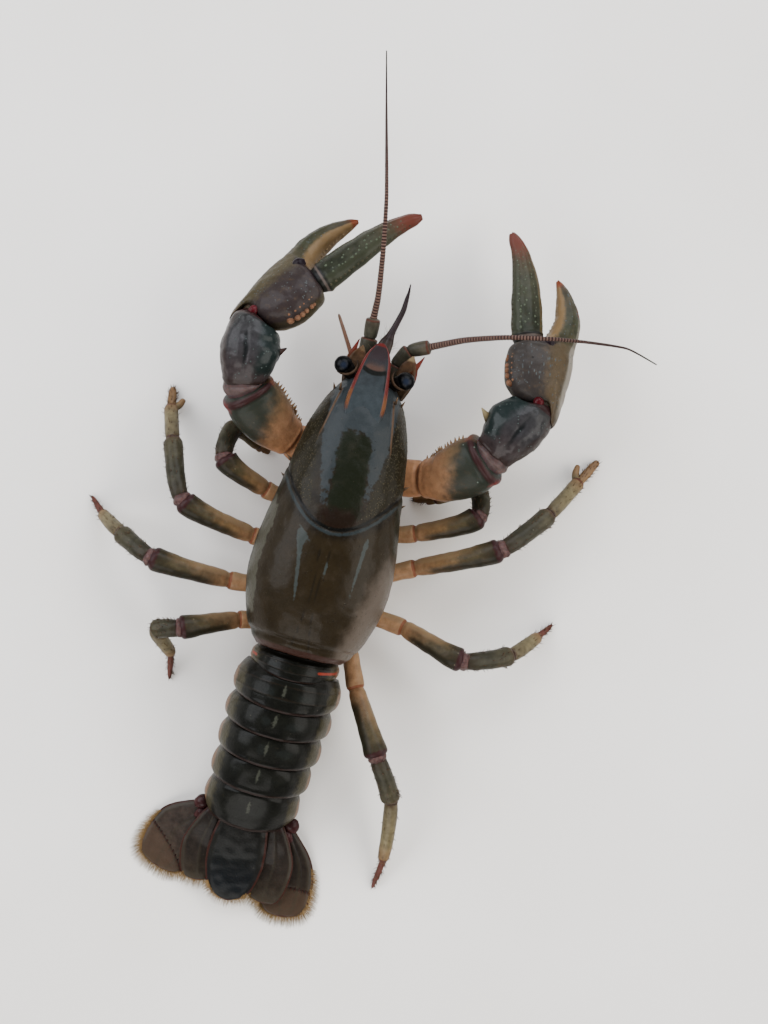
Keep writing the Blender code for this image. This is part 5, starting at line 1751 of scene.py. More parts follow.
        # Wet olive-grey chitin with rust-coloured hems.
        finish = Shell(
            f"feeler_barrel_shell_{side.label}",
            ((0.0, "#5A503E"), (0.4, "#575244"), (0.75, "#5E5B4C"), (1.0, "#675C4D")),
            (Layer("rim", "#6A3A2C", 0.85, 0.3, 0.6, 0.3), Layer("seam", "#231814", 0.9, 0.1, 0.6, 0.25)),
            mottle=0.3, mottle_size=0.9, roughness=0.38, wetness=0.13,
        )
        dress(skin.build(f"feeler_barrels_{side.label}"), finish, "feeler_base", f"antenna_base_{side.label}")
        radii = ((t, 0.51 - 0.42 * t**0.9) for t in np.linspace(0, 1, 12))
        line = Line(whips[side], tuple((6 * t, radius, radius) for t, radius in radii))
        skin = line.skin(0, 6, 640, 12)
        spine = skin.rings.mean(axis=1)
        reach = np.concatenate([[0], np.cumsum(np.linalg.norm(np.diff(spine, axis=0), axis=1))])
        skin.along = np.repeat((reach / reach[-1])[:, None], 12, axis=1)
        rings = reach[-1] / self.band_length
        swell = np.sin(skin.along * rings * 2 * np.pi)
        skin.push(0.035 * swell * (1 - 0.6 * skin.along))
        # Many short rings of chitin: dull pink-brown with dark seams.
        finish = Shell(
            f"feeler_whip_shell_{side.label}",
            ((0.0, "#957669"), (0.4, "#84665A"), (0.7, "#54403C"), (1.0, "#302426")),
            bands=Bands("#2E1713", rings, 0.58, 0.9, 0.0),
            mottle=0.15, roughness=0.46, depth=0.36,
        )
        dress(skin.build(f"feeler_whip_{side.label}"), finish, "feeler", f"antenna_flagellum_{side.label}")

    def build_mouthpart(self, side: Side) -> None:
        """The leg-like mouthpart under the head, with its straight palp on the left.

        Args:
            side: The side that it is on.
        """
        s = side.value
        line = ((1.65, 8.3, 6.3), (1.75, 13.0, 7.0), (2.1, 17.0, 7.6), (1.5, 19.6, 6.6), (1.0, 18.6, 4.9))
        line = tuple((s * x, y, z) for x, y, z in line)
        profile = ((0, 1.2, 1.3), (0.5, 1.35, 1.3), (0.95, 1.25, 1.1), (1.02, 1.0, 0.95))
        profile += ((1.1, 1.1, 1.02), (1.6, 1.2, 1.1), (1.95, 0.98, 0.92), (2.02, 0.78, 0.78))
        profile += ((2.1, 0.9, 0.86), (2.6, 0.8, 0.8), (3, 0.7, 0.7), (3.6, 0.5, 0.5), (4, 0.15, 0.15))
        skin = Line(line, profile, first=(0, 1, 0)).skin(0, 4, 110, 26)
        # The pale chitin of the underside: soft and a little see-through.
        finish = Shell(
            f"mouthpart_shell_{side.label}",
            ((0.0, "#A8845F"), (0.5, "#8E6C4A"), (0.8, "#6C5038"), (1.0, "#5E3226")),
            mottle=0.25, softness=0.08,
        )
        material = finish.build()
        dress(skin.build(f"mouthpart_{side.label}"), material, "belly", f"maxilliped_{side.label}")
        hairs = Scatter(Template.HAIR)
        draw = random.Random(41 + s)
        for _ in range(260):
            place, out, onward = skin.sample(draw.uniform(0.2, 0.95), draw.random())
            inward = Vector((-s, 0, -0.4))
            if out.dot(inward) < 0.2:
                continue
            way = (out + onward * 0.6 + inward * 0.4).normalized()
            hairs.add(Seat(place, way, 0.03, draw.uniform(0.6, 1.2), patch=(draw.random(), draw.random())))
        # Coarse chitin hair, dry: dull brown.
        finish = Shell(f"mouth_hair_{side.label}", even("#6A5030", "#9A8258"), wetness=0.0)
        dress(hairs.build(f"mouthpart_hairs_{side.label}", baked=True), finish, "belly")
        if side is Side.LEFT:
            palp = Line(
                ((-1.9, 14.6, 7.1), (-3.8, 19.8, 8.0), (-7.2, 25.3, 8.6)),
                ((0, 0.34, 0.34), (1, 0.33, 0.33), (1.9, 0.22, 0.22), (2, 0.1, 0.1)),
            )
            colours = ((0.0, "#9A7860"), (0.6, "#946A56"), (1.0, "#A88674"))
            # Thin tan chitin.
            tan = Shell("palp_shell", colours, mottle=0.2, depth=0.42)
            dress(palp.skin(0, 2, 60, 14).build("mouthpart_palp_left"), tan, "belly")

    def build_face(self) -> None:
        """The front of the head under the eyes."""
        line = ((0.0, 15.0, 11.6), (0.0, 18.0, 11.4), (0.0, 20.6, 11.9))
        skin = Line(line, ((0, 2.6, 1.7), (1, 2.1, 1.4), (1.7, 1.2, 0.9), (2, 0.5, 0.4))).skin(0, 2, 36, 40)
        skin.roughen(0.2, 1.0)
        # Rough brown chitin in shade.
        finish = Shell("face_shell", ((0.0, "#54462F"), (0.6, "#644F38"), (1.0, "#6E523A")), mottle=0.4)
        dress(skin.build("face"), finish, "carapace")


HAND_STATIONS: Table = (
    (0.3, 0.0, 1.6, 1.6, 0), (0.5, 0.0, 2.15, 2.05, 0), (0.85, -0.1, 3.0, 2.5, -4),
    (1.4, -0.2, 4.1, 2.9, -8), (2.4, -0.1, 4.8, 3.2, -8), (3.8, 0.0, 5.1, 3.45, -6),
    (5.2, 0.05, 5.15, 3.5, -4), (7.0, 0.05, 5.15, 3.4, 0), (8.75, -0.1, 4.85, 3.15, 0),
    (9.7, -1.05, 3.95, 2.85, 0), (10.4, -2.1, 2.95, 2.5, 0), (12.4, -3.1, 2.25, 2.1, 0),
    (14.8, -3.4, 1.9, 1.75, 3), (17.0, -3.0, 1.5, 1.4, 10), (18.7, -2.3, 1.05, 1.0, 20),
    (19.9, -1.65, 0.65, 0.62, 28), (20.6, -1.2, 0.25, 0.25, 33),
)
FINGER_STATIONS: Table = (
    (9.2, 2.2, 1.5, 1.5, 16), (10.15, 2.4, 2.0, 1.8, 16), (11.6, 2.65, 2.35, 1.9, 12),
    (13.8, 2.9, 2.4, 1.8, 10), (16.6, 3.35, 2.25, 1.65, 10), (19.5, 3.9, 1.95, 1.5, 12),
    (22.0, 4.6, 1.6, 1.25, 17), (24.0, 5.45, 1.25, 1.05, 25), (25.4, 6.3, 0.9, 0.8, 30),
    (26.3, 6.9, 0.45, 0.42, 33),
)


@dataclass
class Claw:
    """One claw: arm, wrist, hand with its fixed finger, and moving finger."""

    side: Side
    arm: Places
    wrist: Places
    heading: float
    pitch: float
    roll: float
    size: float
    heel: float = 3.6
    arm_profile: Table = (
        (0, 2.0, 1.9), (0.6, 2.5, 2.1), (1.0, 2.7, 2.25), (1.3, 2.6, 2.2), (1.38, 2.5, 2.15),
        (1.7, 3.1, 2.6), (2.1, 3.65, 3.0), (2.45, 4.1, 3.2), (2.72, 3.95, 3.1), (2.84, 3.45, 2.9),
        (2.9, 2.6, 2.4), (3, 2.1, 2.0),
    )
    wrist_profile: Table = (
        (0, 2.1, 2.0), (0.1, 2.6, 2.4), (0.3, 3.1, 2.85), (0.6, 3.65, 3.3), (1, 4.05, 3.5),
        (1.4, 4.0, 3.4), (1.72, 3.6, 3.15), (1.9, 3.05, 2.8), (2, 2.3, 2.3),
    )

    def __post_init__(self) -> None:
        """Work out the hand's directions."""
        s = self.side.value
        turn, dip, roll = (math.radians(value) for value in (self.heading, self.pitch, self.roll))
        way = (math.cos(turn) * math.cos(dip), math.sin(turn) * math.cos(dip), math.sin(dip))
        self.along = Vector(way)
        level = Vector((-s * math.sin(turn), s * math.cos(turn), 0))
        upward = self.along.cross(level) * s
        self.inward = level * math.cos(roll) + upward * math.sin(roll)
        self.out = upward * math.cos(roll) - level * math.sin(roll)
        self.label = self.side.label
        self.hand_root = Vector(self.wrist[-1])

    def place(self, along: float, inward: float, out: float = 0.0) -> Vector:
        """A point of the hand from its distance along, towards the midline and off its flat side."""
        return self.hand_root + (self.along * along + self.inward * inward + self.out * out) * self.size

    def line(self) -> tuple[Line, Line]:
        """The lines of the arm and the wrist, which share a direction where they meet.

        Returns:
            The arm's line and the wrist's line.
        """
        s = self.side.value
        points = tuple(self.arm) + tuple(self.wrist)[1:]
        whole = Line(points, ((0, 1, 1),), first=(s, 0, 0), last=tuple(self.along))
        bend = whole.tangents()[len(self.arm) - 1]
        arm = Line(self.arm, self.arm_profile, first=(s, 0, 0), last=tuple(bend))
        wrist = Line(self.wrist, self.wrist_profile, first=tuple(bend), last=tuple(self.along))
        return arm, wrist

    def sections(
        self, stations: Table, rows: int, columns: int, squareness: float, heel: float = 0.0
    ) -> Skin:
        """A surface of the hand through stations of distance along, place inward, half sizes and turn.

        Args:
            stations: The rows that it passes through.
            rows: Rings along it.
            columns: Points round it.
            squareness: How square the sections are.
            heel: How far the outer side sweeps back beside the wrist.

        Returns:
            The surface, with masks for its place across (1 towards the midline) and over (1 on the
            flat side), and its station.
        """
        first, last = stations[0][0], stations[-1][0]
        outer = smooth_step(-outline(columns, squareness)[:, 0], 0.2, 0.9)
        places = first + (last - first) * (1 - (1 - np.linspace(0, 1, rows)) ** 1.15)
        round_points = outline(columns, squareness)
        rings = []
        for at, (inward, half_width, half_height, turn) in zip(places, read_table(stations, places)):
            angle = math.radians(turn)
            across = self.inward * math.cos(angle) - self.along * math.sin(angle)
            centre = np.array(self.place(float(at), float(inward)))
            swept = heel * smooth_step(np.array(at), 0.45, 1.6) * smooth_step(np.array(at), 8.0, 1.6)
            lean = outer * swept * self.size
            back = np.outer(lean, self.along) - np.outer(lean * 0.42, self.inward)
            centre = centre - back
            ring = centre + np.outer(round_points[:, 0] * half_width * self.size, across)
            rings.append(ring + np.outer(round_points[:, 1] * half_height * self.size, self.out))
        skin = Skin(np.array(rings))
        skin.chart(round_points, places)
        return skin

    def build(self) -> None:
        """Build the claw from the body out."""
        self.build_arm()
        self.build_wrist()
        self.build_hand()
        self.build_finger()

    def build_arm(self) -> None:
        """The arm: peach at the body, teal before the wrist, with a saw edge in front and a pale cuff."""
        arm, wrist = self.line()
        skin = arm.skin(0, 3, 130, 60)
        station, across, over = (skin.masks[key] for key in ("station", "across", "over"))
        forward = -across * self.side.value
        flare = 0.25 * bell(station, 2.8, 0.05) - 0.1 * bell(station, 2.7, 0.05)
        skin.push(flare - 0.2 * bell(station, 1.38, 0.05) + 0.12 * bell(station, 1.5, 0.05))
        skin.roughen(0.1, 2.2, 3.0)
        skin.masks["maroon"] = bell(station, 2.8, 0.06)
        skin.masks["corner"] = bell(station, 2.76, 0.08) * smooth_step(np.abs(across), 0.8, 0.95)
        skin.masks["ring"] = bell(station, 1.45, 0.07)
        skin.masks["teal"] = smooth_step(station + 0.32 * (0.1 - forward), 2.05, 2.65)
        skin.masks["net"] = smooth_step(station, 1.6, 2.0) * smooth_step(over, -0.2, 0.3)
        skin.masks["saw"] = smooth_step(forward, 0.8, 0.95) * smooth_step(station, 1.7, 1.9)
        # Wet chitin: waxy peach at the body, deep teal at the wrist.
        finish = Shell(
            f"wet_arm_shell_{self.label}",
            (
                (0.0, "#C8946C"),
                (0.5, "#C08A62"),
                (0.7, "#AE7F5C"),
                (0.82, "#7E6448"),
                (0.92, "#3A3C30"),
                (1.0, "#252B27"),
            ),
            (
                Layer("teal", "#0F2626", 0.95, 0.5, 1.1, 0.5),
                Layer("net", "#5E5038", 0.18, 0.7, 0.5, 0.3),
                Layer("ring", "#8A5438", 0.6, 0.3, 0.8, 0.3),
                Layer("maroon", "#3A1F20", 0.9, 0.3, 0.7, 0.3),
                Layer("corner", "#6E2826", 0.85, 0.35, 0.6, 0.3),
                Layer("saw", "#6A4C30", 0.5, 0.3, 0.7, 0.3),
            ),
            (
                Dots("#8E9A8C", 1.6, 0.16, 0.3, "teal", 0.05, 0.7),
                Dots("#5A4028", 0.8, 0.1, 0.3, "", 0.02, 0.35),
            ),
            mottle=0.22, roughness=0.4, softness=0.06, depth=0.48,
        )
        dress(skin.build(f"claw_arm_{self.label}"), finish, "claw_arm", f"claw_{self.label}_arm")
        self.add_saw(skin)
        cuff = Line(
            tuple(tuple(arm.at(at)[0]) for at in (2.8, 2.9, 2.99))
            + tuple(tuple(wrist.at(at)[0]) for at in (0.1, 0.22)),
            ((0, 2.2, 2.1), (1, 2.9, 2.7), (2, 3.0, 2.75), (3, 2.85, 2.65), (4, 2.3, 2.2)),
        )
        skin = cuff.skin(0, 4, 40, 60)
        skin.push(0.06 * np.sin(skin.masks["station"] * 4.0))
        skin.roughen(0.1, 1.2, 9.0)
        # Wrinkled joint skin: soft, pink-grey and dull.
        finish = Shell(
            f"cuff_membrane_{self.label}",
            even("#3E282A", "#5E484A", "#77625E", "#64504E", "#3A2626"),
            mottle=0.3, mottle_size=0.9, roughness=0.42, softness=0.15,
        )
        dress(skin.build(f"claw_cuff_{self.label}"), finish, "claw_arm")

    def add_saw(self, skin: Skin) -> None:
        """Small teeth along the front margin of the arm, with a few more above it.

        Args:
            skin: The arm's surface.
        """
        teeth = Scatter(Template.SPINE)
        draw = random.Random(11)
        column = 0.5 if self.side is Side.RIGHT else 0.0
        for number in range(17):
            row = 0.5 + 0.36 * number / 16
            place, out, onward = skin.sample(row, column + draw.uniform(-0.012, 0.012))
            size = 0.24 + 0.08 * math.sin(math.pi * number / 16) + draw.uniform(-0.03, 0.05)
            teeth.add(Seat(place - out * 0.1, out + onward * 0.35, size, size * 2.3))
        for number in range(9):
            row = 0.56 + 0.3 * number / 8
            place, out, onward = skin.sample(row, column + (0.045 if column else -0.045 + 1))
            teeth.add(Seat(place - out * 0.05, out + onward * 0.5, 0.14, 0.3))
        colours = ((0.0, "#BC9870"), (0.6, "#B08A64"), (1.0, "#8E6A48"))
        # Worn chitin teeth, as pale as horn.
        finish = Shell(f"arm_tooth_shell_{self.label}", colours, depth=0.45)
        dress(teeth.build(f"claw_arm_teeth_{self.label}"), finish, "claw_arm")

    def build_wrist(self) -> None:
        """The wrist: a slate and teal knuckle with a furrow, pale grains and a spine towards the midline."""
        _, wrist = self.line()
        s = self.side.value
        skin = wrist.skin(0, 2, 110, 72)
        station, across, over = (skin.masks[key] for key in ("station", "across", "over"))
        inner = -across * s
        furrow = bell(across - 0.12 * s, 0.08 * np.sin(station * 2.5), 0.09) * bell(station, 1.05, 0.55)
        skin.push(-0.3 * furrow * smooth_step(over, 0.2, 0.6) + 0.08 * bell(station, 0.18, 0.06))
        skin.push(0.35 * bell(station, 1.15, 0.2) * bell(inner, 1.0, 0.3) * bell(over, 0.1, 0.5))
        skin.roughen(0.24, 2.1, 4.0 + s)
        skin.roughen(0.05, 0.7, 2.0)
        skin.masks["brown"] = np.maximum(smooth_step(station, 0.42, 0.12), smooth_step(inner, -0.62, -0.9))
        skin.masks["teal"] = smooth_step(inner, 0.0, 0.7) * smooth_step(station, 0.3, 0.7)
        skin.masks["furrow"] = furrow
        skin.masks["edge"] = smooth_step(station, 1.82, 1.92)
        skin.masks["below"] = smooth_step(over, -0.35, -0.7)
        # Thick wet chitin: slate and teal, with the strongest gloss of the claw.
        finish = Shell(
            f"wet_wrist_shell_{self.label}",
            ((0.0, "#4A3A38"), (0.2, "#4A4040"), (0.6, "#464446"), (1.0, "#3E3E3D")),
            (
                Layer("teal", "#1F312E", 0.8, 0.45, 1.4, 0.35),
                Layer("brown", "#3A2A25", 0.75, 0.4, 1.0, 0.3),
                Layer("furrow", "#141A1A", 0.8, 0.3, 0.7, 0.3),
                Layer("below", "#8A7052", 0.8, 0.3, 1.3, 0.35),
                Layer("edge", "#3E2222", 0.85, 0.2, 0.6, 0.3),
            ),
            (Dots("#6E7A76", 1.25, 0.12, 0.35, "", 0.03, 0.6),),
            mottle=0.3, roughness=0.32, wetness=0.24,
        )
        dress(skin.build(f"claw_wrist_{self.label}"), finish, "claw", f"claw_{self.label}_wrist")
        grains = Scatter(Template.GRAIN)
        draw = random.Random(51 + s)
        for _ in range(46):
            spot = skin.sample(draw.uniform(0.2, 0.88), draw.uniform(0.02, 0.48))
            grains.stud(spot, draw.uniform(0.08, 0.15), 0.7)
        # The worn tips of grains: bluish grey.
        finish = Shell(f"wrist_grain_shell_{self.label}", even("#4E5A58", "#606C68"), mottle=0.3)
        dress(grains.build(f"claw_wrist_grains_{self.label}"), finish, "claw")
        spines = Scatter(Template.SPINE)
        root = Vector(self.wrist[1]) + Vector((-s * 3.6, 0.9, 0.3))
        spines.add(Seat(root + Vector((-s * 0.2, 0.1, 0)), Vector((-s, 0.9, 0.1)), 0.8, 1.5))
        pale = ((0.0, "#4A4536"), (0.4, "#A8946A"), (1.0, "#C8B588"))
        dark = ((0.0, "#2C2A26"), (0.6, "#4A302A"), (1.0, "#2A1A1C"))
        colours = pale if self.side is Side.RIGHT else dark
        # Solid chitin, as pale as horn where it is worn.
        finish = Shell(f"wrist_spine_shell_{self.label}", colours, mottle=0.15)
        dress(spines.build(f"claw_wrist_spines_{self.label}"), finish, "claw")

    def build_hand(self) -> None:
        """The hand with its fixed finger, its two rows of tubercles, its grains and its hinge knobs."""
        skin = self.sections(HAND_STATIONS, 210, 110, 2.35, self.heel)
        station, across, over = (skin.masks[key] for key in ("station", "across", "over"))
        palm = smooth_step(station, 10.6, 9.4)
        fixed = 1 - palm
        lift = 0.22 * bell(station, 9.0, 0.5) * bell(over, 0.9, 0.5) * smooth_step(across, -0.3, 0.2)
        lift -= 0.2 * bell(across, -0.82, 0.08) * smooth_step(station, 4.0, 8.0) * (np.abs(over) < 0.8)
        ridge = bell(across, -0.1, 0.18) * fixed * smooth_step(over, 0.3, 0.8)
        lift += 0.1 * ridge - 0.06 * bell(across, 0.35, 0.12) * fixed * smooth_step(over, 0.2, 0.6)
        skin.push(lift)
        skin.roughen(0.14, 2.3, 6.0)
        skin.roughen(0.05, 0.8, 2.0)
        top = smooth_step(over, -0.2, 0.25)
        skin.masks["slate"] = smooth_step(across, -0.42, 0.15) * palm * top
        skin.masks["gold"] = bell(across, -0.36, 0.4) * smooth_step(station, 0.6, 1.6) * palm * top
        edge = smooth_step(across, -0.6, -0.9) * smooth_step(station, 1.6, 4.0)
        skin.masks["pale_edge"] = edge * (1 - 0.4 * fixed)
        skin.masks["root"] = smooth_step(station, 3.2, 1.2) * smooth_step(across, -0.35, -0.8)
        skin.masks["blade"] = smooth_step(across, 0.25, 0.75) * fixed
        skin.masks["red_rim"] = smooth_step(across, -0.55, -0.85) * smooth_step(station, 14.0, 16.5)
        skin.masks["tip"] = smooth_step(station, 19.3, 20.4)
        skin.masks["hinge"] = bell(station, 9.5, 0.5) * smooth_step(across, -0.2, 0.1) * top
        skin.masks["below"] = smooth_step(over, -0.3, -0.75)
        right = self.side is Side.RIGHT
        # Thick wet chitin: violet-grey and olive-gold, with a pale outer edge.
        finish = Shell(
            f"wet_palm_shell_{self.label}",
            (
                (0.0, "#463E32"),
                (0.2, "#4A4230"),
                (0.42, "#504A34"),
                (0.6, "#4C4E3A"),
                (0.85, "#5A5442"),
                (1.0, "#7E4A38"),
            ),
            (
                Layer("slate", "#4A4442" if right else "#44393A", 0.9, 0.7, 0.8, 0.5),
                Layer("gold", "#74624A" if right else "#645A3E", 0.75, 0.8, 0.8, 0.5),
                Layer("root", "#5E4A34", 0.6, 0.5, 1.2, 0.3),
                Layer("pale_edge", "#B5AC9C" if right else "#7C7A66", 0.85, 0.3, 1.2, 0.45),
                Layer("blade", "#AE8C60", 0.9, 0.5, 0.9, 0.5),
                Layer("below", "#8E7C5C", 0.85, 0.3, 1.6, 0.35),
                Layer("red_rim", "#7A3228", 0.9, 0.25, 0.8, 0.3),
                Layer("hinge", "#2A1C24", 0.85, 0.25, 0.8, 0.3),
                Layer("tip", "#A8573A", 0.9, 0.5, 0.8, 0.4),
            ),
            (
                Dots("#8E7C50", 0.7, 0.14, 0.55, "gold", 0.04, 0.6),
                Dots("#201A18", 1.9, 0.2, 0.3, "slate", -0.06, 0.7),
            ),
            mottle=0.34, mottle_size=1.3, roughness=0.4, wetness=0.13,
        )
        dress(skin.build(f"claw_hand_{self.label}"), finish, "claw", f"claw_{self.label}_hand")
        self.add_tubercles(skin)
        self.add_hand_grains(skin)
        self.add_hinges()
        self.add_hand_skin()

    def add_tubercles(self, skin: Skin) -> None:
        """Two rows of rounded orange tubercles on the palm's inner margin, the largest nearest the wrist.

        Args:
            skin: The hand's surface.
        """
        draw = random.Random(11)
        lumps, denticles = Scatter(Template.GRAIN), Scatter(Template.GRAIN)
        inset = 0.014 if self.side is Side.RIGHT else -0.008
        for number in range(6):
            station = 2.1 + (0.98 + 0.08 * draw.uniform(-1, 1)) * number
            row = skin.row_of(station)
            size = (0.64 - 0.06 * number) * draw.uniform(0.8, 1.12)
            for shift, scale in ((inset, 1.0), (inset + 0.045, 0.45)):
                place, out, onward = skin.sample(row + (0.012 if scale < 1 else 0), shift)
                wide = size * scale
                lumps.add(Seat(place - out * size * 0.3, out, wide, wide * 0.95, wide, onward))
        for number in range(12):
            station = 12.0 + 0.68 * number
            row = skin.row_of(station)
            spot = skin.sample(row, -0.015)
            denticles.stud(spot, 0.2 - 0.008 * number, 1.0, sunk=0.3)
        # Low teeth of bare chitin, as pale as horn.
        pale = Shell(f"denticle_shell_{self.label}", even("#A88A60", "#C0A070"), mottle=0.3)
        dress(denticles.build(f"claw_denticles_{self.label}"), pale, "claw")
        # Rounded lumps of bare chitin: warm orange-brown and a little waxy.
        finish = Shell(
            f"tubercle_shell_{self.label}",
            even("#6E4A3A", "#8E6248", "#A87A5C"),
            mottle=0.25, mottle_size=0.8, roughness=0.42, softness=0.08,
        )
        dress(lumps.build(f"claw_tubercles_{self.label}"), finish, "claw")

    def add_hand_grains(self, skin: Skin) -> None:
        """Small blue-white grains over palm and fixed finger, long ones in the middle of the right palm.

        Args:
            skin: The hand's surface.
        """
        draw = random.Random(61 + self.side.value)
        grains = Scatter(Template.GRAIN)
        for _ in range(84):
            station, column = draw.uniform(1.8, 9.0), draw.uniform(0.05, 0.42)
            row = skin.row_of(station)
            long = self.side is Side.RIGHT and 0.13 < column < 0.28 and 3.5 < station < 8.0
            size, stretch = draw.uniform(0.08, 0.15), 2.6 if long else 1.1
            grains.stud(skin.sample(row, column), size, 0.6, stretch, 0.4)
        for _ in range(26):
            row = skin.row_of(draw.uniform(11, 18.5))
            spot = skin.sample(row, draw.uniform(0.15, 0.42))
            grains.stud(spot, draw.uniform(0.08, 0.15), 0.7, 1.2)
        # The worn tips of grains: blue-grey specks.
        finish = Shell(f"hand_grain_shell_{self.label}", even("#4E5454", "#646A6A"), mottle=0.3)
        dress(grains.build(f"claw_hand_grains_{self.label}"), finish, "claw")

    def add_hinges(self) -> None:
        """The dark knob where the moving finger turns and the red one at the wrist."""
        places = (
            ("finger_hinge", (9.55, -0.1, 2.55), 0.95, "#241720"),
            ("wrist_hinge", (0.35, 0.2, 2.1), 0.8, "#6A1D26"),
        )
        for name, (along, inward, out), radius, colour in places:
            start = self.place(along - radius, inward - 0.3, out - 0.1)
            middle = self.place(along, inward, out)
            end = self.place(along + radius * 0.8, inward + 0.35, out - 0.15)
            profile = ((0, radius * 0.4, radius * 0.4), (0.6, radius * 0.85, radius * 0.75))
            profile += ((1.3, radius * 0.85, radius * 0.75), (2, radius * 0.35, radius * 0.35))
            skin = Line((tuple(start), tuple(middle), tuple(end)), profile).skin(0, 2, 24, 24)
            skin.roughen(0.1, 0.8)
            # A polished chitin knob: a small dark or red bead with a bright spot.
            finish = Shell(f"{name}_shell_{self.label}", even(colour, colour), mottle=0.3, roughness=0.3)
            dress(skin.build(f"{name}_{self.label}"), finish, "claw")

    def add_hand_skin(self) -> None:
        """Soft skin that closes the cleft between the wrist and the heel of the palm."""
        points = ((-0.8, -1.1, 0.5), (0.1, -1.4, 0.75), (1.4, -1.3, 0.7))
        size = self.size
        profile = ((0, 0.6 * size, 0.6 * size), (0.6, 1.15 * size, 1.2 * size))
        profile += ((1.3, 1.35 * size, 1.4 * size), (2, 1.0 * size, 1.0 * size))
        skin = Line(tuple(tuple(self.place(*point)) for point in points), profile).skin(0, 2, 30, 30)
        skin.roughen(0.12, 0.9, 5.0)
        # Joint skin: brown and dull.
        finish = Shell(f"hand_membrane_{self.label}", even("#3E3029", "#524434", "#463A2C"), softness=0.1)
        dress(skin.build(f"hand_skin_{self.label}"), finish, "claw")

    def build_finger(self) -> None:
        """The moving finger: green with pale grains, a knobbly inner edge and a red tip."""
        skin = self.sections(FINGER_STATIONS, 170, 72, 2.2)
        station, across, over = (skin.masks[key] for key in ("station", "across", "over"))
        middle = smooth_step(station, 11.5, 13.5) * smooth_step(over, 0.3, 0.8)
        lift = 0.1 * bell(across, 0.0, 0.2) * middle
        lift -= 0.05 * (bell(across, 0.45, 0.1) + bell(across, -0.45, 0.1)) * middle
        lift += 0.18 * bell(station, 10.8, 0.35)
        skin.push(lift)
        skin.roughen(0.1, 1.8, 8.0)
        skin.masks["root"] = smooth_step(station, 11.3, 10.5)
        skin.masks["line"] = bell(station, 10.45, 0.18)
        skin.masks["outer"] = smooth_step(across, 0.5, 0.85)
        skin.masks["bite"] = smooth_step(across, -0.45, -0.85)
        skin.masks["tip"] = smooth_step(station, 20.4, 26.2)
        skin.masks["below"] = smooth_step(over, -0.3, -0.75)
        # Wet olive-green chitin that turns brick red at the tip.
        finish = Shell(
            f"wet_finger_shell_{self.label}",
            (
                (0.0, "#2B2E24"),
                (0.15, "#363A2B"),
                (0.5, "#4D4E3D"),
                (0.7, "#5A513E"),
                (0.85, "#6A523E"),
                (1.0, "#7E483A"),
            ),
            (
                Layer("outer", "#4E5240", 0.6, 0.4, 1.0, 0.3),
                Layer("bite", "#80683F", 0.6, 0.4, 0.9, 0.3),
                Layer("below", "#857650", 0.8, 0.3, 1.5, 0.35),
                Layer("root", "#26242A", 0.6, 0.4, 1.0, 0.3),
                Layer("line", "#8A7A72", 0.8, 0.25, 0.6, 0.3),
                Layer("tip", "#86463A", 0.9, 0.35, 0.8, 0.5),
            ),
            (Dots("#7E8A74", 1.3, 0.14, 0.3, "", 0.04, 0.5),),
            mottle=0.34, mottle_size=1.2, roughness=0.4, wetness=0.13,
        )
        dress(skin.build(f"claw_finger_{self.label}"), finish, "claw", f"claw_{self.label}_finger")
        draw = random.Random(71 + self.side.value)
        grains = Scatter(Template.GRAIN)
        for lane, count in ((0.13, 20), (0.2, 13), (0.3, 17), (0.38, 15)):
            for number in range(count):
                station = 11.6 + 12.6 * (number + draw.uniform(0.1, 0.9)) / count
                row = skin.row_of(station)
                spot = skin.sample(row, lane + draw.uniform(-0.025, 0.025))
                grains.stud(spot, draw.uniform(0.11, 0.22) * (1.1 - 0.5 * number / count), 0.7, 1.15)
        # The worn tips of grains: pale green specks.
        finish = Shell(f"finger_grain_shell_{self.label}", even("#5C6854", "#6C7660"), mottle=0.3)
        dress(grains.build(f"claw_finger_grains_{self.label}"), finish, "claw")
        bumps = Scatter(Template.GRAIN)
        for number in range(19):
            station = 11.0 + 13.6 * number / 18
            row = skin.row_of(station)
            for column in (0.005, 0.495):
                spot = skin.sample(row, column)
                bumps.stud(spot, (0.24 - 0.006 * number) * draw.uniform(0.85, 1.15), 0.9, sunk=0.2)
        # Blunt chitin knobs: a little darker than the grains.
        finish = Shell(f"finger_bump_shell_{self.label}", even("#4C4A38", "#5C5842"), mottle=0.4)
        dress(bumps.build(f"claw_finger_bumps_{self.label}"), finish, "claw")


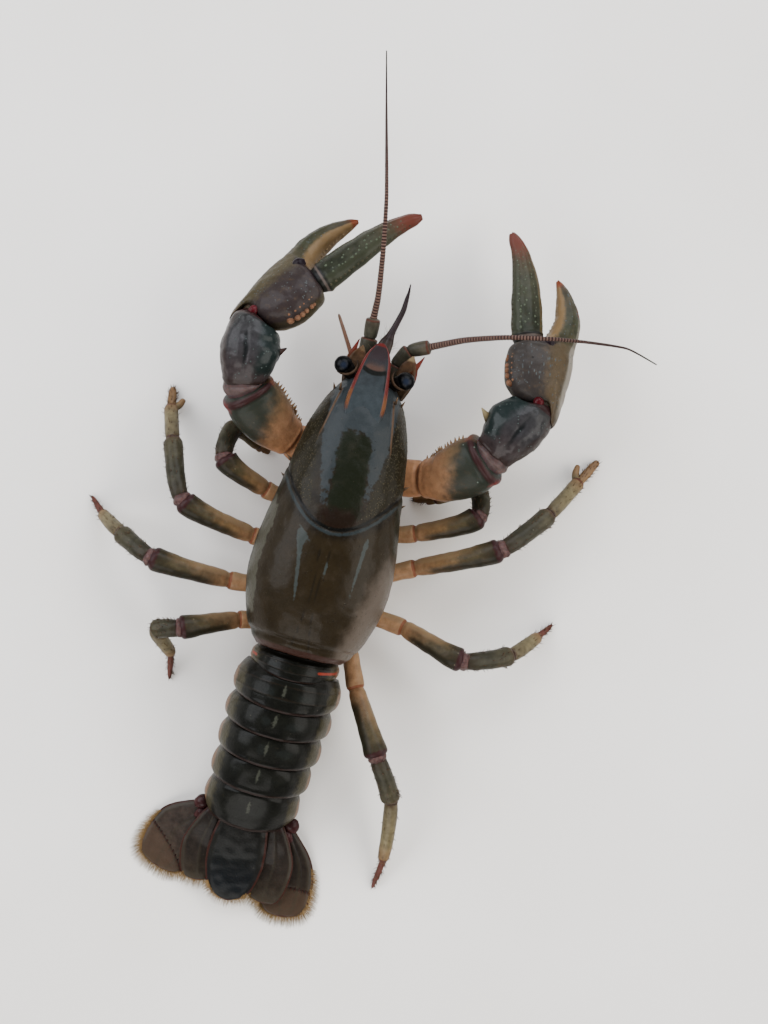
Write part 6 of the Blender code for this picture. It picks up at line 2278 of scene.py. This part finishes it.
@dataclass
class WalkingLeg:
    """One walking leg: upper leg, shin and foot, with soft skin at its joints, and bristles."""

    side: Side
    number: int
    joints: Places
    scale: float = 1.5
    upper_profile: Table = (
        (0, 1.1, 1.05), (0.4, 1.12, 1.1), (0.8, 1.02, 1.02), (0.95, 0.9, 0.92), (1.02, 0.7, 0.74),
        (1.12, 0.8, 0.84), (1.5, 0.82, 0.87), (1.85, 0.88, 0.93), (1.98, 0.84, 0.88),
        (2.03, 0.72, 0.76), (2.12, 0.84, 0.9), (2.3, 0.9, 1.0), (2.6, 1.0, 1.12), (2.84, 1.14, 1.18),
        (2.93, 1.1, 1.14), (3, 0.66, 0.72),
    )
    shin_profile: Table = (
        (0, 0.66, 0.7), (0.1, 0.78, 0.82), (0.3, 0.86, 0.9), (0.65, 0.9, 0.94), (0.88, 0.94, 0.98),
        (0.95, 0.84, 0.88), (1, 0.56, 0.6),
    )
    foot_profile: Table = (
        (0, 0.54, 0.58), (0.08, 0.64, 0.7), (0.25, 0.7, 0.76), (0.6, 0.66, 0.7), (0.88, 0.58, 0.6),
        (0.95, 0.5, 0.52), (1.0, 0.34, 0.36), (1.08, 0.33, 0.36), (1.4, 0.29, 0.32), (1.7, 0.22, 0.24),
        (1.95, 0.13, 0.14), (2, 0.07, 0.08),
    )
    pincer_profile: Table = (
        (0, 0.54, 0.58), (0.08, 0.64, 0.7), (0.25, 0.7, 0.76), (0.6, 0.68, 0.7), (0.9, 0.68, 0.64),
        (1.0, 0.58, 0.54), (1.06, 0.46, 0.46), (1.4, 0.43, 0.42), (1.75, 0.37, 0.36),
        (1.95, 0.26, 0.26), (2, 0.12, 0.12),
    )

    @property
    def key(self) -> str:
        """The leg's side and number, as its pieces are named."""
        return f"{self.side.label}_{self.number}"

    def line(self, start: int, end: int, profile: Table) -> Line:
        """The line of one stretch, sharing its end directions with its neighbours.

        Args:
            start: Number of its first joint.
            end: Number of its last joint.
            profile: Rows of station, half width and half height.

        Returns:
            The line.
        """
        whole = Line(self.joints, ((0, 1, 1),), first=(self.side.value, 0, 0)).tangents()
        sizes = [(at, wide * self.scale, high * self.scale) for at, wide, high in profile]
        return Line(self.joints[start : end + 1], sizes, tuple(whole[start]), tuple(whole[end]))

    def build(self) -> None:
        """Build the leg from the body out, then its soft skin and its bristles."""
        self.build_upper()
        shin = self.build_shin()
        foot = self.build_foot()
        self.add_joint_skin()
        self.add_bristles("foot", foot, 150 if self.number > 1 else 40, 0.34)
        self.add_bristles("shin", shin, 130, 0.3)

    def build_upper(self) -> None:
        """The upper leg: peach at the body and green-brown towards the knee, with red-brown rings."""
        upper = self.line(0, 3, self.upper_profile).skin(0, 3, 150, 30)
        station, over = upper.masks["station"], upper.masks["over"]
        upper.roughen(0.07, 1.3, self.number)
        upper.masks["ring"] = bell(station, 2.0, 0.05) + 0.8 * bell(station, 0.97, 0.05)
        upper.masks["knee"] = smooth_step(station, 2.86, 2.93)
        upper.masks["spots"] = smooth_step(station, 2.15, 2.4)
        ahead = -upper.masks["across"] * self.side.value
        front = np.maximum(smooth_step(over, -0.1, -0.7), smooth_step(ahead, 0.1, 0.7))
        upper.masks["pale_side"] = smooth_step(station, 2.9, 2.35) * front
        behind = smooth_step(ahead, 0.1, -0.6) * (over > -0.5)
        upper.masks["dark_side"] = smooth_step(station, 2.08, 2.4) * behind
        # Thin chitin over pale flesh: waxy peach with olive-brown patches.
        finish = Shell(
            f"leg_shell_{self.key}",
            (
                (0.0, "#B48A66"),
                (0.62, "#AC8460"),
                (0.7, "#A07A58"),
                (0.78, "#766046" if self.number >= 3 else "#92724E"),
                (0.87, "#544A34"),
                (0.95, "#3C3628"),
                (1.0, "#3A2424"),
            ),
            (
                Layer("dark_side", "#26241A", 0.9, 0.35, 1.1, 0.55),
                Layer("pale_side", "#A68864", 0.75 if self.number < 4 else 0.4, 0.35, 1.2, 0.55),
                Layer("ring", "#7E4228", 0.85, 0.35, 0.7, 0.3),
                Layer("knee", "#3C2022", 0.9, 0.4, 0.5, 0.3),
            ),
            (Dots("#8A8060", 0.9, 0.12, 0.35, "spots", 0.04, 0.6),),
            mottle=0.3, mottle_size=1.1, roughness=0.42, softness=0.1, depth=0.44,
        )
        dress(upper.build(f"upper_leg_{self.key}"), finish, "leg", f"leg_{self.key}_upper")

    def build_shin(self) -> Skin:
        """The shin: olive, spotted and dark at both ends.

        Returns:
            Its surface.
        """
        shin = self.line(3, 4, self.shin_profile).skin(0, 1, 60, 30)
        shin.roughen(0.06, 1.0, self.number + 3.0)
        station = shin.masks["station"]
        shin.masks["ends"] = smooth_step(station, 0.12, 0.04) + smooth_step(station, 0.9, 0.97)
        shin.masks["spots"] = bell(station, 0.5, 0.35)
        # Thin olive chitin with pale specks.
        finish = Shell(
            f"shin_shell_{self.key}",
            ((0.0, "#553835"), (0.14, "#484134"), (0.4, "#4A4738"), (0.8, "#5C5642"), (1.0, "#6A533E")),
            (Layer("ends", "#4E2A2A", 0.8, 0.3, 0.6, 0.3),),
            (Dots("#86846A", 0.85, 0.13, 0.4, "spots", 0.05, 0.65),),
            mottle=0.3, roughness=0.4,
        )
        dress(shin.build(f"shin_{self.key}"), finish, "leg", f"leg_{self.key}_shin")
        return shin

    def build_foot(self) -> Skin:
        """The foot, straw-coloured: it ends in a claw, or in a small pincer on the first two legs.

        Returns:
            Its surface.
        """
        profile, tip = self.foot_profile, "#844C42"
        ends = ((0.55, "#8A5A4C"), (1.0, "#80483E"))
        if self.number < 3:
            profile, tip = self.pincer_profile, "#AA845C"
            ends = ((0.53, "#AC8A60"), (1.0, "#A07250"))
        foot = self.line(4, len(self.joints) - 1, profile)
        skin = foot.skin(0, 2, 110, 26)
        skin.roughen(0.05, 0.9, self.number + 6.0)
        skin.settle()
        station = skin.masks["station"]
        skin.masks["joint"] = bell(station, 0.97, 0.06)
        skin.masks["tip"] = smooth_step(station, 1.04, 1.2)
        # Thin straw-coloured chitin that darkens to the tip.
        finish = Shell(
            f"foot_shell_{self.key}",
            ((0.0, "#74583F"), (0.08, "#82765A"), (0.3, "#988A66"), (0.46, "#A68660"), *ends),
            (
                Layer("joint", "#662A24", 0.85, 0.3, 0.6, 0.3),
                Layer("tip", tip, 0.7, 0.5, 0.9, 0.4),
            ),
            (Dots("#9A8A66", 0.8, 0.1, 0.3, "", 0.03, 0.5),),
            mottle=0.32, mottle_size=0.9, roughness=0.46, wetness=0.15,
        )
        material = finish.build()
        dress(skin.build(f"foot_{self.key}"), material, "foot", f"leg_{self.key}_foot")
        if self.number < 3:
            self.add_pincer(material)
        return skin

    def add_pincer(self, material: bpy.types.Material) -> None:
        """The second finger of the small pincer on the first two legs.

        Args:
            material: The foot's finish.
        """
        wrist, tip = Vector(self.joints[-2]), Vector(self.joints[-1])
        along = tip - wrist
        beside = along.cross(Vector((0, 0, 1))).normalized() * -self.side.value
        spread = 1.75 if self.number == 2 else 0.6
        line = (
            tuple(wrist - along.normalized() * 0.8),
            tuple(wrist + along * 0.14 + beside * 0.7 * spread),
            tuple(wrist + along * 0.42 + beside * spread),
        )
        profile = ((0, 0.45, 0.45), (0.7, 0.5, 0.5), (1.3, 0.47, 0.45), (1.85, 0.34, 0.34), (2, 0.14, 0.14))
        skin = Line(line, profile).skin(0, 2, 50, 18)
        skin.settle()
        skin.masks["joint"] = np.zeros_like(skin.along)
        skin.masks["tip"] = smooth_step(skin.masks["station"], 0.8, 1.3)
        dress(skin.build(f"pincer_{self.key}"), material, "foot")

    def add_joint_skin(self) -> None:
        """Soft pink skin in the knee and the ankle."""
        # Wrinkled joint skin: dusky pink, soft and dull.
        finish = Shell(
            f"joint_skin_{self.key}",
            even("#4A2E2E", "#765854", "#45292A"),
            mottle=0.5, mottle_size=0.5, roughness=0.42, softness=0.12,
        )
        # Joint skin: brown and dull.
        ankle_finish = Shell(f"ankle_skin_{self.key}", even("#4A3A30", "#5E4C3E", "#4A3A30"), softness=0.1)
        finishes = {"knee": finish.build(), "ankle": ankle_finish.build()}
        upper = self.line(0, 3, self.upper_profile)
        shin = self.line(3, 4, self.shin_profile)
        foot = self.line(4, 5, self.foot_profile)
        knee = (upper.at(2.9)[0], Vector(self.joints[3]), shin.at(0.12)[0])
        ankle = (shin.at(0.9)[0], Vector(self.joints[4]), foot.at(0.07)[0])
        for name, places, wide in (("knee", knee, 0.92), ("ankle", ankle, 0.7)):
            size = wide * self.scale
            profile = ((0, size * 0.7, size * 0.72), (1, size, size * 1.05), (2, size * 0.7, size * 0.72))
            skin = Line(tuple(tuple(place) for place in places), profile).skin(0, 2, 22, 26)
            skin.roughen(0.2, 0.7, self.number)
            dress(skin.build(f"{name}_skin_{self.key}"), finishes[name], "leg")

    def add_bristles(self, part: str, skin: Skin, count: int, shortest: float) -> None:
        """Short dark bristles on one part of the leg, thickest towards its end.

        Args:
            part: The part's name.
            skin: The part's surface.
            count: How many roots are tried.
            shortest: The length of the shortest.
        """
        draw = random.Random(100 + self.number * 7 + self.side.value + count)
        hairs = Scatter(Template.HAIR)
        for _ in range(count):
            row, column = draw.uniform(0.02, 0.97), draw.random()
            place, out, onward = skin.sample(row, column)
            if place.z < 0.3 or draw.random() > 0.35 + 0.65 * row:
                continue
            way = (out + onward * draw.uniform(0.6, 1.3)).normalized()
            length = draw.uniform(1.0, 2.1) * shortest
            hairs.add(Seat(place - out * 0.05, way, 0.07, length, patch=(row, column)))
        # Short chitin hair, dry: dull brown.
        finish = Shell(f"{part}_bristle_{self.key}", even("#4E3828", "#7A5E44"), wetness=0.0)
        slot = "foot" if part == "foot" else "leg"
        dress(hairs.build(f"{part}_bristles_{self.key}", baked=True), finish, slot)


@dataclass
class Belly:
    """The keel between the leg roots."""

    half_width: float = 3.2
    front: float = 8.6
    floor: float = 3.7

    def build(self) -> None:
        """Model the keel with a furrow and cross seams."""
        places = np.linspace(CARAPACE_REAR + 0.5, self.front, 70)
        angle = 2 * np.pi * (np.arange(48) + 0.5) / 48
        rings = []
        for place in places:
            top = 7.0 + 2.3 * max(place + 4.0, 0) / (CARAPACE_FRONT + 4.0)
            low = self.floor + max(place, 0) * 0.12
            x = signed_power(np.cos(angle), 0.6) * self.half_width
            z = (top + low) / 2 + signed_power(np.sin(angle), 0.6) * (top - low) / 2
            z = z + 0.45 * bell(x, 0, 0.7) * (np.sin(angle) < 0)
            rings.append(np.stack([x, np.full_like(x, place), z], 1))
        skin = Skin(np.array(rings))
        seams = sum(bell(skin.y, seam, 0.22) for seam in (-16.0, -10.0, -4.2, 1.6))
        skin.push(-0.35 * seams)
        skin.roughen(0.12, 1.6)
        skin.masks["seam"] = seams
        # The pale chitin of the underside: plain tan and soft.
        finish = Shell(
            "belly_shell",
            even("#B08C66", "#B89670"),
            (Layer("seam", "#8A6040", 0.7, 0.25, 0.8, 0.3),),
            mottle=0.2, softness=0.1,
        )
        dress(skin.build("keel"), finish, "belly", "sternum")


@dataclass
class Stage:
    """The plain pale floor, the soft light and the camera straight above."""

    pixel: float = 0.145
    height: float = 320.0
    centre: tuple[float, float] = (4.75, -1.48)
    turn: float = 15.2
    picture: tuple[int, int] = (768, 1024)
    floor_size: float = 900.0

    def build(self) -> None:
        """Set the floor, the lights and the camera."""
        self.build_floor()
        self.build_light()
        self.build_camera()

    def build_floor(self) -> None:
        """A pale matt sheet that sweeps away level on all sides."""
        bpy.ops.object.select_all(action="DESELECT")
        bpy.ops.mesh.primitive_plane_add(size=self.floor_size * MM, location=(0, 0, -0.00002))
        floor = bpy.context.object
        floor.name = "floor"
        bpy.ops.object.transform_apply(location=True)
        # Matt paper: plain and pale, so that nothing on it draws the eye.
        made = bpy.data.materials.new("pale_matt_floor")
        made.use_nodes = True
        tree = made.node_tree
        tree.nodes.clear()
        place = add(tree, "ShaderNodeTexCoord").outputs["Object"]
        cloud = add(tree, "ShaderNodeTexNoise", None, {"Vector": place, "Scale": 22.0, "Detail": 3.0})
        ramp = add(tree, "ShaderNodeValToRGB", None, {"Fac": cloud.outputs["Fac"]})
        ramp.color_ramp.elements[0].position, ramp.color_ramp.elements[0].color = 0.3, linear("#D9D5CF")
        ramp.color_ramp.elements[1].position, ramp.color_ramp.elements[1].color = 0.75, linear("#E2DFDB")
        surface = add(
            tree,
            "ShaderNodeBsdfPrincipled",
            None,
            {"Base Color": ramp.outputs["Color"], "Roughness": 0.6, "Specular IOR Level": 0.3},
        )
        add(tree, "ShaderNodeOutputMaterial", None, {"Surface": surface.outputs["BSDF"]})
        floor.data.materials.append(made)

    def build_light(self) -> None:
        """Soft light from a wide window of sky, a little stronger from the upper left."""
        world = bpy.data.worlds.new("soft_light")
        bpy.context.scene.world = world
        world.use_nodes = True
        background = world.node_tree.nodes["Background"]
        background.inputs["Color"].default_value = linear("#E4EAF2")
        background.inputs["Strength"].default_value = 0.18
        lights = (
            ("left_window", (-430, 90, 330), (620, 400), 6.2, "#F4F6FB"),
            ("right_window", (450, 40, 310), (620, 400), 5.2, "#FBF7F1"),
            ("front_window", (60, 470, 340), (520, 360), 4.8, "#EEF2FA"),
            ("rear_window", (-40, -470, 300), (520, 360), 4.0, "#F7F4F0"),
            ("ceiling", (-60, 150, 520), (130, 200), 0.09, "#DCE6F5"),
        )
        for name, place, size, power, colour in lights:
            data = bpy.data.lights.new(name, "AREA")
            data.shape, data.energy = "RECTANGLE", power
            data.size, data.size_y = size[0] * MM, size[1] * MM
            data.color = linear(colour)[:3]
            lamp = bpy.data.objects.new(name, data)
            bpy.context.scene.collection.objects.link(lamp)
            lamp.location = Vector(place) * MM
            aim = Vector((0, 0, 5)) * MM - lamp.location
            lamp.rotation_euler = aim.to_track_quat("-Z", "Y").to_euler()

    def build_camera(self) -> None:
        """A camera straight above, turned so that the body leans as it does in the picture."""
        data = bpy.data.cameras.new("camera")
        data.sensor_fit = "VERTICAL"
        data.angle = 2 * math.atan(self.pixel * self.picture[1] / 2 / self.height)
        camera = bpy.data.objects.new("camera", data)
        bpy.context.scene.collection.objects.link(camera)
        camera.location = (self.centre[0] * MM, self.centre[1] * MM, self.height * MM)
        camera.rotation_euler = (0, 0, math.radians(self.turn))
        data.clip_start, data.clip_end = 0.01, 5.0
        bpy.context.scene.camera = camera


CLAWS = (
    Claw(
        Side.LEFT,
        ((-3.2, 4.6, 5.6), (-7.4, 6.0, 6.2), (-11.6, 7.6, 8.6), (-17.2, 12.2, 12.2)),
        ((-17.2, 12.2, 12.2), (-17.6, 16.4, 13.2), (-17.7, 21.1, 12.4)),
        58.5,
        -11,
        42,
        1.0,
    ),
    Claw(
        Side.RIGHT,
        ((3.2, 4.6, 5.6), (8.6, 5.6, 6.4), (13.1, 6.9, 9.0), (18.8, 11.7, 12.4)),
        ((18.8, 11.7, 12.4), (20.5, 15.5, 13.3), (22.7, 19.4, 12.8)),
        97,
        -17,
        15,
        0.95,
    ),
)
LEG_ROOTS = (-1.3, -7.2, -12.7, -18.1)
LEG_ROOT_PLACE = (3.2, 4.9)
LEGS: dict[tuple[Side, int], Places] = {
    (Side.LEFT, 1): (
        (-8.0, -1.8, 5.0), (-10.8, -1.3, 5.8), (-17.5, 1.6, 8.6),
        (-17.4, 5.9, 5.6), (-13.7, 4.7, 1.9), (-12.1, 4.0, 0.1),
    ),
    (Side.LEFT, 2): (
        (-7.2, -8.3, 5.0), (-10.9, -8.1, 5.9), (-21.5, -5.7, 9.8),
        (-25.4, 2.1, 6.0), (-27.3, 6.6, 1.6), (-27.9, 9.4, 0.1),
    ),
    (Side.LEFT, 3): (
        (-7.0, -14.5, 5.0), (-12.4, -15.1, 5.9), (-23.8, -14.7, 9.5),
        (-29.0, -12.7, 6.2), (-32.9, -10.8, 1.6), (-35.1, -8.9, 0.1),
    ),
    (Side.LEFT, 4): (
        (-6.0, -19.4, 4.9), (-9.6, -20.2, 5.8), (-17.3, -23.3, 9.5),
        (-20.3, -24.4, 8.2), (-18.0, -27.8, 2.0), (-17.4, -31.5, 0.1),
    ),
    (Side.RIGHT, 1): (
        (8.0, -2.8, 5.0), (11.4, -1.8, 5.7), (19.4, 3.0, 8.0),
        (18.2, 6.6, 5.0), (13.0, 3.9, 1.9), (9.9, 2.9, 0.1),
    ),
    (Side.RIGHT, 2): (
        (7.6, -8.9, 5.0), (12.6, -6.6, 5.9), (23.7, -0.7, 9.8),
        (29.1, 5.8, 6.0), (32.3, 11.5, 1.7), (34.3, 15.2, 0.1),
    ),
    (Side.RIGHT, 3): (
        (7.6, -14.6, 5.0), (13.2, -15.2, 5.9), (22.6, -17.3, 9.5),
        (29.0, -15.0, 6.0), (32.5, -11.5, 1.7), (34.1, -9.4, 0.1),
    ),
    (Side.RIGHT, 4): (
        (6.3, -19.9, 4.9), (9.0, -25.2, 5.8), (14.5, -33.7, 8.7),
        (18.0, -39.4, 6.0), (19.3, -48.6, 1.7), (18.9, -53.0, 0.1),
    ),
}


def main() -> None:
    """Build the stage, then every part of the animal from head to tail."""
    logging.basicConfig(level=logging.INFO, format="%(message)s")
    Stage().build()
    Carapace().build()
    Rostrum().build()
    Abdomen().build()
    TailFan().build()
    Head().build()
    for claw in CLAWS:
        claw.build()
    for (side, number), places in LEGS.items():
        x, z = LEG_ROOT_PLACE
        root = (side.value * x, LEG_ROOTS[number - 1], z)
        WalkingLeg(side, number, (root, *places)).build()
    Belly().build()


if __name__ == "__main__":
    main()
